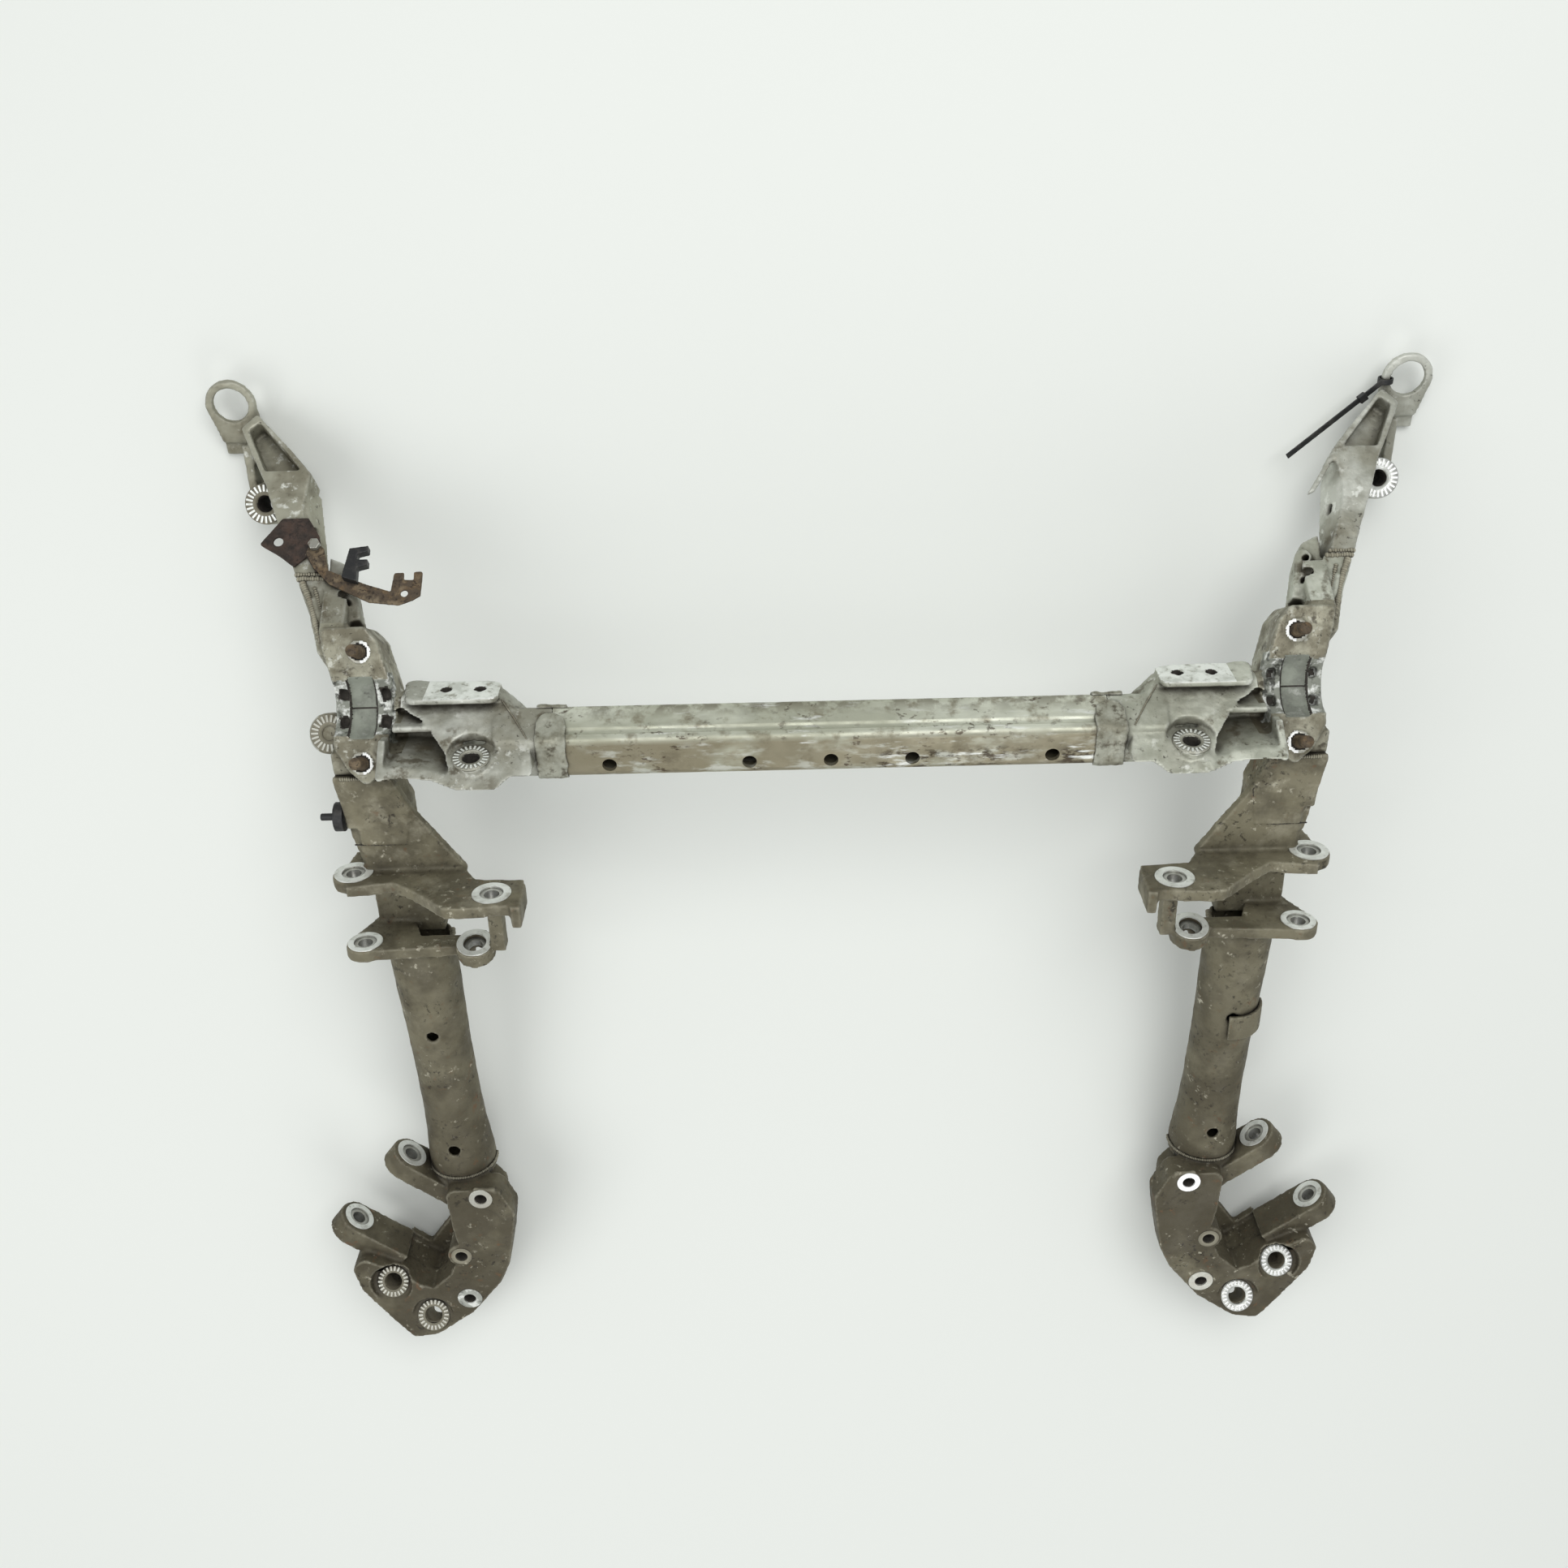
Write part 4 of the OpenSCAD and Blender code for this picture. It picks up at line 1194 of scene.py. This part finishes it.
@dataclass
class MachinedPads:
    """Plain machined rings round the link, fork and plate holes."""

    down: float = 1.2
    up: float = 0.6
    chamfer: float = 0.4
    lug_out: float = 1.0
    eye_bore_r: float = 9.6
    link_r: tuple = (15.8, 15.8, 14.5)
    fork_r: float = 14.4
    plate_bore_r: float = 5.7
    plate_spots: tuple = ("front", "middle", "rear")
    plate_r: tuple = (10.5, 9.5, 11.5)
    low_boss: tuple = ((296.0, 444.0, -3.0), -75.0)
    low_boss_r: float = 14.8

    def build(self) -> None:
        """Makes the rings of both sides, bright ones and dulled ones."""
        plates = {Side.LEFT: (DULLED, SOILED, CHALKED), Side.RIGHT: (BRIGHT, SOILED, DULLED)}
        turn = math.radians(AT.fork_angle)
        along = Vector((-math.sin(turn), math.cos(turn), 0)) * self.lug_out
        for side in Side:
            bright = []
            for (x, y, z), reach in zip(AT.link_eyes, self.link_r):
                eye = place((x, y + self.lug_out, z), -90, side=side)
                bright.append(PadRing(eye, self.eye_bore_r, reach))
            bright.append(PadRing(place(*self.low_boss, side=side), self.eye_bore_r, self.low_boss_r))
            for lug in AT.lugs:
                eye = place(tuple(Vector(lug) + along), -90, AT.fork_angle, side)
                bright.append(PadRing(eye, self.eye_bore_r, self.fork_r))
            self._rings(bright, f"{side.word}_machined_pads", MACHINED)
            for spot, at, reach, finish in zip(self.plate_spots, AT.plate_holes, self.plate_r, plates[side]):
                pad = PadRing(place(at, side=side), self.plate_bore_r, reach)
                self._rings([pad], f"{side.word}_{spot}_plate_pad", finish)

    def _rings(self, rings: list[PadRing], name: str, finish: Finish, steps: int = 56) -> None:
        """Makes flat rings with a small chamfer as one piece.

        Args:
            rings: The rings.
            name: Name of the piece.
            finish: Its finish.
            steps: Points round each ring.
        """
        bm = bmesh.new()
        for ring in rings:
            profile = (
                (ring.inner_r, -self.down),
                (ring.outer_r, -self.down),
                (ring.outer_r, self.up - self.chamfer / 2),
                (ring.outer_r - self.chamfer, self.up),
                (ring.inner_r, self.up),
            )
            turns = []
            for i in range(steps):
                a = math.tau * i / steps
                spots = [Vector((r * math.cos(a), r * math.sin(a), z)) for r, z in profile]
                turns.append([bm.verts.new(ring.matrix @ spot) for spot in spots])
            for first, second in zip(turns, turns[1:] + turns[:1]):
                for k in range(len(profile)):
                    n = (k + 1) % len(profile)
                    bm.faces.new((first[k], second[k], second[n], first[n]))
        settle(mesh_from(bm, name, smooth=False), finish, Slot.DIRTY)


@dataclass
class ClampStuds:
    """Rusty threaded studs in the bush seats."""

    shank_r: float = 5.5
    major_r: float = 5.0
    minor_r: float = 4.2
    tip_r: float = 3.4
    pitch: float = 1.5
    top: float = 24.0
    bottom: float = -16.0
    shank_top: float = 2.0
    chamfer: float = 0.8
    rows_per_turn: int = 4

    def build(self) -> None:
        """Makes the studs of both sides."""
        for side in Side:
            bm = bmesh.new()
            for y in (0.0, AT.stud_pitch):
                self._stud(bm, AT.seat(side) @ Matrix.Translation((AT.seat_x, y, 0)))
            obj = mesh_from(bm, f"{side.word}_threaded_studs")
            settle(obj, RUST, Slot.RUST, f"{side.word}_clamp_studs")

    def _stud(self, bm: BMesh, matrix: Matrix, steps: int = 28) -> None:
        """Adds one stud with a true helical thread.

        Args:
            bm: The mesh that grows.
            matrix: From local millimetres to the frame.
            steps: Points round the stud.
        """
        heights = [self.shank_top]
        while heights[-1] < self.top - 1.5 * self.chamfer:
            heights.append(heights[-1] + self.pitch / self.rows_per_turn)
        rows = [self._row(bm, matrix, z, [self.shank_r] * steps) for z in (self.bottom, self.shank_top)]
        depth = self.major_r - self.minor_r
        for z in heights:
            waves = [abs(2 * ((z / self.pitch - i / steps) % 1.0) - 1) for i in range(steps)]
            rows.append(self._row(bm, matrix, z, [self.minor_r + depth * w for w in waves]))
        rows.append(self._row(bm, matrix, self.top - self.chamfer, [self.minor_r] * steps))
        rows.append(self._row(bm, matrix, self.top, [self.tip_r] * steps))
        for low, high in zip(rows, rows[1:]):
            for i in range(steps):
                n = (i + 1) % steps
                bm.faces.new((low[i], low[n], high[n], high[i]))
        bm.faces.new(rows[0])
        bm.faces.new(rows[-1])

    @staticmethod
    def _row(bm: BMesh, matrix: Matrix, z: float, radii: list[float]) -> list[BMVert]:
        """Adds one row of points round the stud.

        Args:
            bm: The mesh that grows.
            matrix: From local millimetres to the frame.
            z: Height of the row.
            radii: Radius at each point.

        Returns:
            The new points.
        """
        step = math.tau / len(radii)
        spots = [Vector((r * math.cos(step * i), r * math.sin(step * i), z)) for i, r in enumerate(radii)]
        return [bm.verts.new(matrix @ spot) for spot in spots]


@dataclass(frozen=True)
class BeadPath:
    """One weld: points in frame metres and the bead's half width in millimetres."""

    points: list
    half_mm: float


@dataclass
class WeldBeads:
    """Welds as rows of overlapping ripples that follow the joints, and thin lines of dirt along plate edges.

    A bead has its half width and its points, in the arm's or the car's millimetres. A ring has the middle of
    its circle, its radius, its first and last angle in degrees, and the bead's half width.
    """

    ripple_mm: float = 2.0
    ripple_segments: int = 12
    ripple_rings: int = 8
    ripple_flat: tuple = (1.0, 1.0, 0.75)
    ripple_low: float = 0.8
    ripple_high: float = 1.15
    seed: int = 4
    ring_steps: int = 24
    foot_beads: tuple = (
        (2.8, ((402, -4, -0.4), (407, 12, -0.4), (412, 28, -0.4), (415, 36, -0.4), (420, 47, -0.4))),
        (2.0, ((397, 4, -0.6), (402, 18, -0.6), (406, 30, -0.6), (410, 42, -0.6))),
        (2.4, ((404, 51, -0.6), (411, 51, -0.6), (418, 51, -0.6), (424, 51, -0.6))),
        (2.0, ((407, 55, -0.6), (412, 55, -0.6), (419, 55, -0.6), (426, 55, -0.6))),
    )
    leg_bead: tuple = (1.8, ((352, 589, -23), (362, 589, -23), (376, 589, -23), (390, 589, -23)))
    rings: tuple = ((AT.side_top, 28.0, -20, 200, 2.0), (AT.side_end, 30.5, -10, 190, 1.5))
    leg_line: tuple = (
        0.7,
        ((358, 589, -23.7), (340, 560, -23.7), (345, 528, -23.7), (366, 527.5, -23.7), (387, 528, -23.7)),
    )
    panel_line: tuple = (0.6, ((259, 646.5, -42.4), (248, 637, -28.3), (237, 627, -11.2)))

    def paths(self, side: Side) -> list[BeadPath]:
        """Lists one side's welds.

        Args:
            side: The side.

        Returns:
            The welds' paths.
        """
        car, arm = place(side=side), AT.arm(side)
        found = [self._laid(arm, bead) for bead in self.foot_beads]
        found.append(self._laid(car, self.leg_bead))
        for (x, y, z), radius, first, last, half in self.rings:
            turns = [first + (last - first) * i / self.ring_steps for i in range(self.ring_steps + 1)]
            spots = [(math.cos(a), math.sin(a)) for a in map(math.radians, turns)]
            found.append(self._laid(car, (half, [(x + radius * c, y, z + radius * s) for c, s in spots])))
        return found

    @staticmethod
    def _laid(matrix: Matrix, bead: tuple) -> BeadPath:
        """A bead's path, brought from its millimetres to the frame."""
        half, points = bead
        return BeadPath([matrix @ Vector(at) for at in points], half)

    def build(self) -> None:
        """Makes each side's welds as one piece, and its dirt lines."""
        tree = self._tree()
        for side in Side:
            word, car = side.word, place(side=side)
            leg, panel = self._laid(car, self.leg_line), self._laid(car, self.panel_line)
            self._join(tree, self.paths(side), f"{word}_weld_beads", SOILED_WELD, Slot.WELD)
            self._join(tree, [leg], f"{word}_leg_dirt_line", DARK_DIRT_AND_SHADE, Slot.DIRTY)
            self._join(tree, [panel], f"{word}_panel_dirt_line", SOILED, Slot.DIRTY)

    def _join(self, tree: NodeTree, paths: list[BeadPath], name: str, finish: Finish, slot: Slot) -> None:
        """Makes beads along paths as one piece.

        Args:
            tree: The ripple tree.
            paths: Where the beads run.
            name: Name of the piece.
            finish: Its finish.
            slot: Material slot of the record.
        """
        bm = bmesh.new()
        for path in paths:
            mesh = self._bead(tree, path, name, finish)
            bm.from_mesh(mesh)
            bpy.data.meshes.remove(mesh)
        settle(mesh_from(bm, name), finish, slot)

    def _bead(self, tree: NodeTree, path: BeadPath, name: str, finish: Finish) -> Mesh:
        """Makes one bead along its path.

        Args:
            tree: The ripple tree.
            path: Where the bead runs.
            name: Name of the bead.
            finish: Its finish.

        Returns:
            The bead's mesh.
        """
        curve = bpy.data.curves.new(name, "CURVE")
        curve.dimensions = "3D"
        line = curve.splines.new("POLY")
        line.points.add(len(path.points) - 1)
        for point, at in zip(line.points, path.points):
            point.co = (*at, 1.0)
        rail = bpy.data.objects.new(f"{name}_path", curve)
        bpy.context.scene.collection.objects.link(rail)
        modifier = rail.modifiers.new("ripples", "NODES")
        modifier.node_group = tree
        ripple = min(self.ripple_mm, path.half_mm)
        values = {"Half width": path.half_mm * MM, "Ripple": ripple * MM, "Metal": finish.material}
        set_inputs(modifier, values)
        mesh = evaluated_mesh(rail)
        bpy.data.objects.remove(rail)
        return mesh

    def _tree(self) -> NodeTree:
        """Builds the node tree: flat round ripples on a resampled path.

        Returns:
            The tree.
        """
        sockets = {"Geometry": "Geometry", "Half width": "Float", "Ripple": "Float", "Metal": "Material"}
        tree = new_shape_tree("weld_ripples", sockets)
        given = add_node(tree, "NodeGroupInput").node.outputs
        path = {"Curve": given["Geometry"], "Length": given["Ripple"]}
        spaced = add_node(tree, "GeometryNodeResampleCurve", path, mode="LENGTH")
        points = add_node(tree, "GeometryNodeCurveToPoints", {"Curve": spaced}, "Points", mode="EVALUATED")
        sphere = {"Segments": self.ripple_segments, "Rings": self.ripple_rings, "Radius": given["Half width"]}
        ball = add_node(tree, "GeometryNodeMeshUVSphere", sphere)
        flat = add_node(tree, "GeometryNodeTransform", {"Geometry": ball, "Scale": self.ripple_flat})
        spread = {2: self.ripple_low, 3: self.ripple_high, "Seed": self.seed}
        beads = {
            "Points": points,
            "Instance": flat,
            "Rotation": points.node.outputs["Rotation"],
            "Scale": add_node(tree, "FunctionNodeRandomValue", spread, 1, data_type="FLOAT"),
        }
        ripples = add_node(tree, "GeometryNodeInstanceOnPoints", beads)
        real = add_node(tree, "GeometryNodeRealizeInstances", {0: ripples})
        soft = add_node(tree, "GeometryNodeSetShadeSmooth", {0: real})
        metal = {"Geometry": soft, "Material": given["Metal"]}
        add_node(tree, "NodeGroupOutput", {0: add_node(tree, "GeometryNodeSetMaterial", metal)})
        return tree


@dataclass
class BracketsAndClips:
    """The rusty sheet brackets on the left arm, the plastic clips and the cable tie, with soft edges."""

    sheet_skin: Skin = Skin(0.6, 3, 0.5, 6.0)
    plastic_skin: Skin = Skin(0.5, 3)
    bolt_skin: Skin = Skin(0.4, 2)
    tie_skin: Skin = Skin(0.35, 2)

    def build(self, nodes: dict) -> None:
        """Makes the small pieces.

        Args:
            nodes: The frame's node objects by name.
        """
        looks = (
            ("arm_bracket", "plate", self.sheet_skin, DARK_RUST, Slot.RUST),
            ("hose_bracket", "arm", self.sheet_skin, RUST, Slot.RUST),
            ("bracket_bolt", "body", self.bolt_skin, ZINC, Slot.ZINC),
            ("cable_clip", "body", self.plastic_skin, NYLON, Slot.PLASTIC),
            ("side_clip", "body", self.plastic_skin, NYLON, Slot.PLASTIC),
            ("cable_tie", "strap", self.tie_skin, NYLON, Slot.PLASTIC),
        )
        for node, form, skin, finish, slot in looks:
            settle(skin.wrap(nodes[node], f"{node}_{form}"), finish, slot, node)


@dataclass(frozen=True)
class Lamp:
    """One round soft lamp that looks at the middle of the part."""

    name: str
    at: tuple
    size: float
    power: float

    def build(self) -> None:
        """Makes the lamp."""
        data = bpy.data.lights.new(self.name, "AREA")
        data.shape = "DISK"
        data.size = self.size
        data.energy = self.power
        obj = bpy.data.objects.new(self.name, data)
        obj.location = self.at
        obj.rotation_mode = "QUATERNION"
        obj.rotation_quaternion = (-Vector(self.at)).to_track_quat("-Z", "Y")
        bpy.context.scene.collection.objects.link(obj)


@dataclass
class Studio:
    """Pale floor, soft light and the photograph's viewpoint, in metres."""

    floor_color: str = "#e0e3de"
    floor_half: float = 6.0
    floor_roughness: float = 0.9
    sky_color: str = "#f3f5f6"
    sky_strength: float = 0.5
    lamps: tuple = (
        Lamp("key", (0.5, 1.5, 2.6), 2.2, 46.0),
        Lamp("fill", (-1.7, -0.4, 2.2), 2.0, 22.0),
        Lamp("back", (0.6, -2.0, 1.8), 1.6, 14.0),
    )
    camera_at: tuple = (-0.03889, 0.46648, 1.43962)
    right: tuple = (0.99972, -0.02245, 0.00724)
    down: tuple = (-0.02356, -0.96523, 0.26033)
    ahead: tuple = (0.00115, -0.26043, -0.96549)
    lens_mm: float = 37.81
    sensor_mm: float = 36.0
    nearest: float = 0.01
    farthest: float = 50.0

    def build(self) -> None:
        """Makes floor, lights, world and camera."""
        self._floor()
        self._world()
        for lamp in self.lamps:
            lamp.build()
        self._camera()
        bpy.context.scene.view_settings.view_transform = "Standard"

    def _floor(self) -> None:
        """A wide pale floor under the part."""
        bm = bmesh.new()
        bmesh.ops.create_grid(bm, x_segments=1, y_segments=1, size=self.floor_half)
        floor = mesh_from(bm, "floor", smooth=False)
        material, tree = new_surface("pale_floor")
        look = {"Base Color": linear(self.floor_color), "Roughness": self.floor_roughness}
        shader = add_node(tree, "ShaderNodeBsdfPrincipled", look)
        add_node(tree, "ShaderNodeOutputMaterial", {"Surface": shader})
        floor.data.materials.append(material)

    def _world(self) -> None:
        """A pale even sky."""
        world = bpy.data.worlds.new("studio")
        world.use_nodes = True
        tree = world.node_tree
        tree.nodes.clear()
        light = {"Color": linear(self.sky_color), "Strength": self.sky_strength}
        sky = add_node(tree, "ShaderNodeBackground", light)
        add_node(tree, "ShaderNodeOutputWorld", {"Surface": sky})
        bpy.context.scene.world = world

    def _camera(self) -> None:
        """The camera at the photograph's viewpoint."""
        data = bpy.data.cameras.new("camera")
        data.lens = self.lens_mm
        data.sensor_width = self.sensor_mm
        data.clip_start = self.nearest
        data.clip_end = self.farthest
        camera = bpy.data.objects.new("camera", data)
        bpy.context.scene.collection.objects.link(camera)
        x_axis, y_axis, z_axis = Vector(self.right), -Vector(self.down), -Vector(self.ahead)
        turn = Matrix((x_axis, y_axis, z_axis)).transposed().to_4x4()
        camera.matrix_world = Matrix.Translation(self.camera_at) @ turn
        bpy.context.scene.camera = camera


def main() -> None:
    """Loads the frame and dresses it."""
    logging.basicConfig(level=logging.INFO, format="%(name)s %(message)s")
    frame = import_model()
    nodes = frame["nodes"]
    Studio().build()
    for pieces in (Tubes(), BracketsAndClips(), Castings()):
        pieces.build(nodes)
    for details in (SerratedSeats(), MachinedPads(), ClampStuds(), WeldBeads()):
        details.build()


if __name__ == "__main__":
    main()
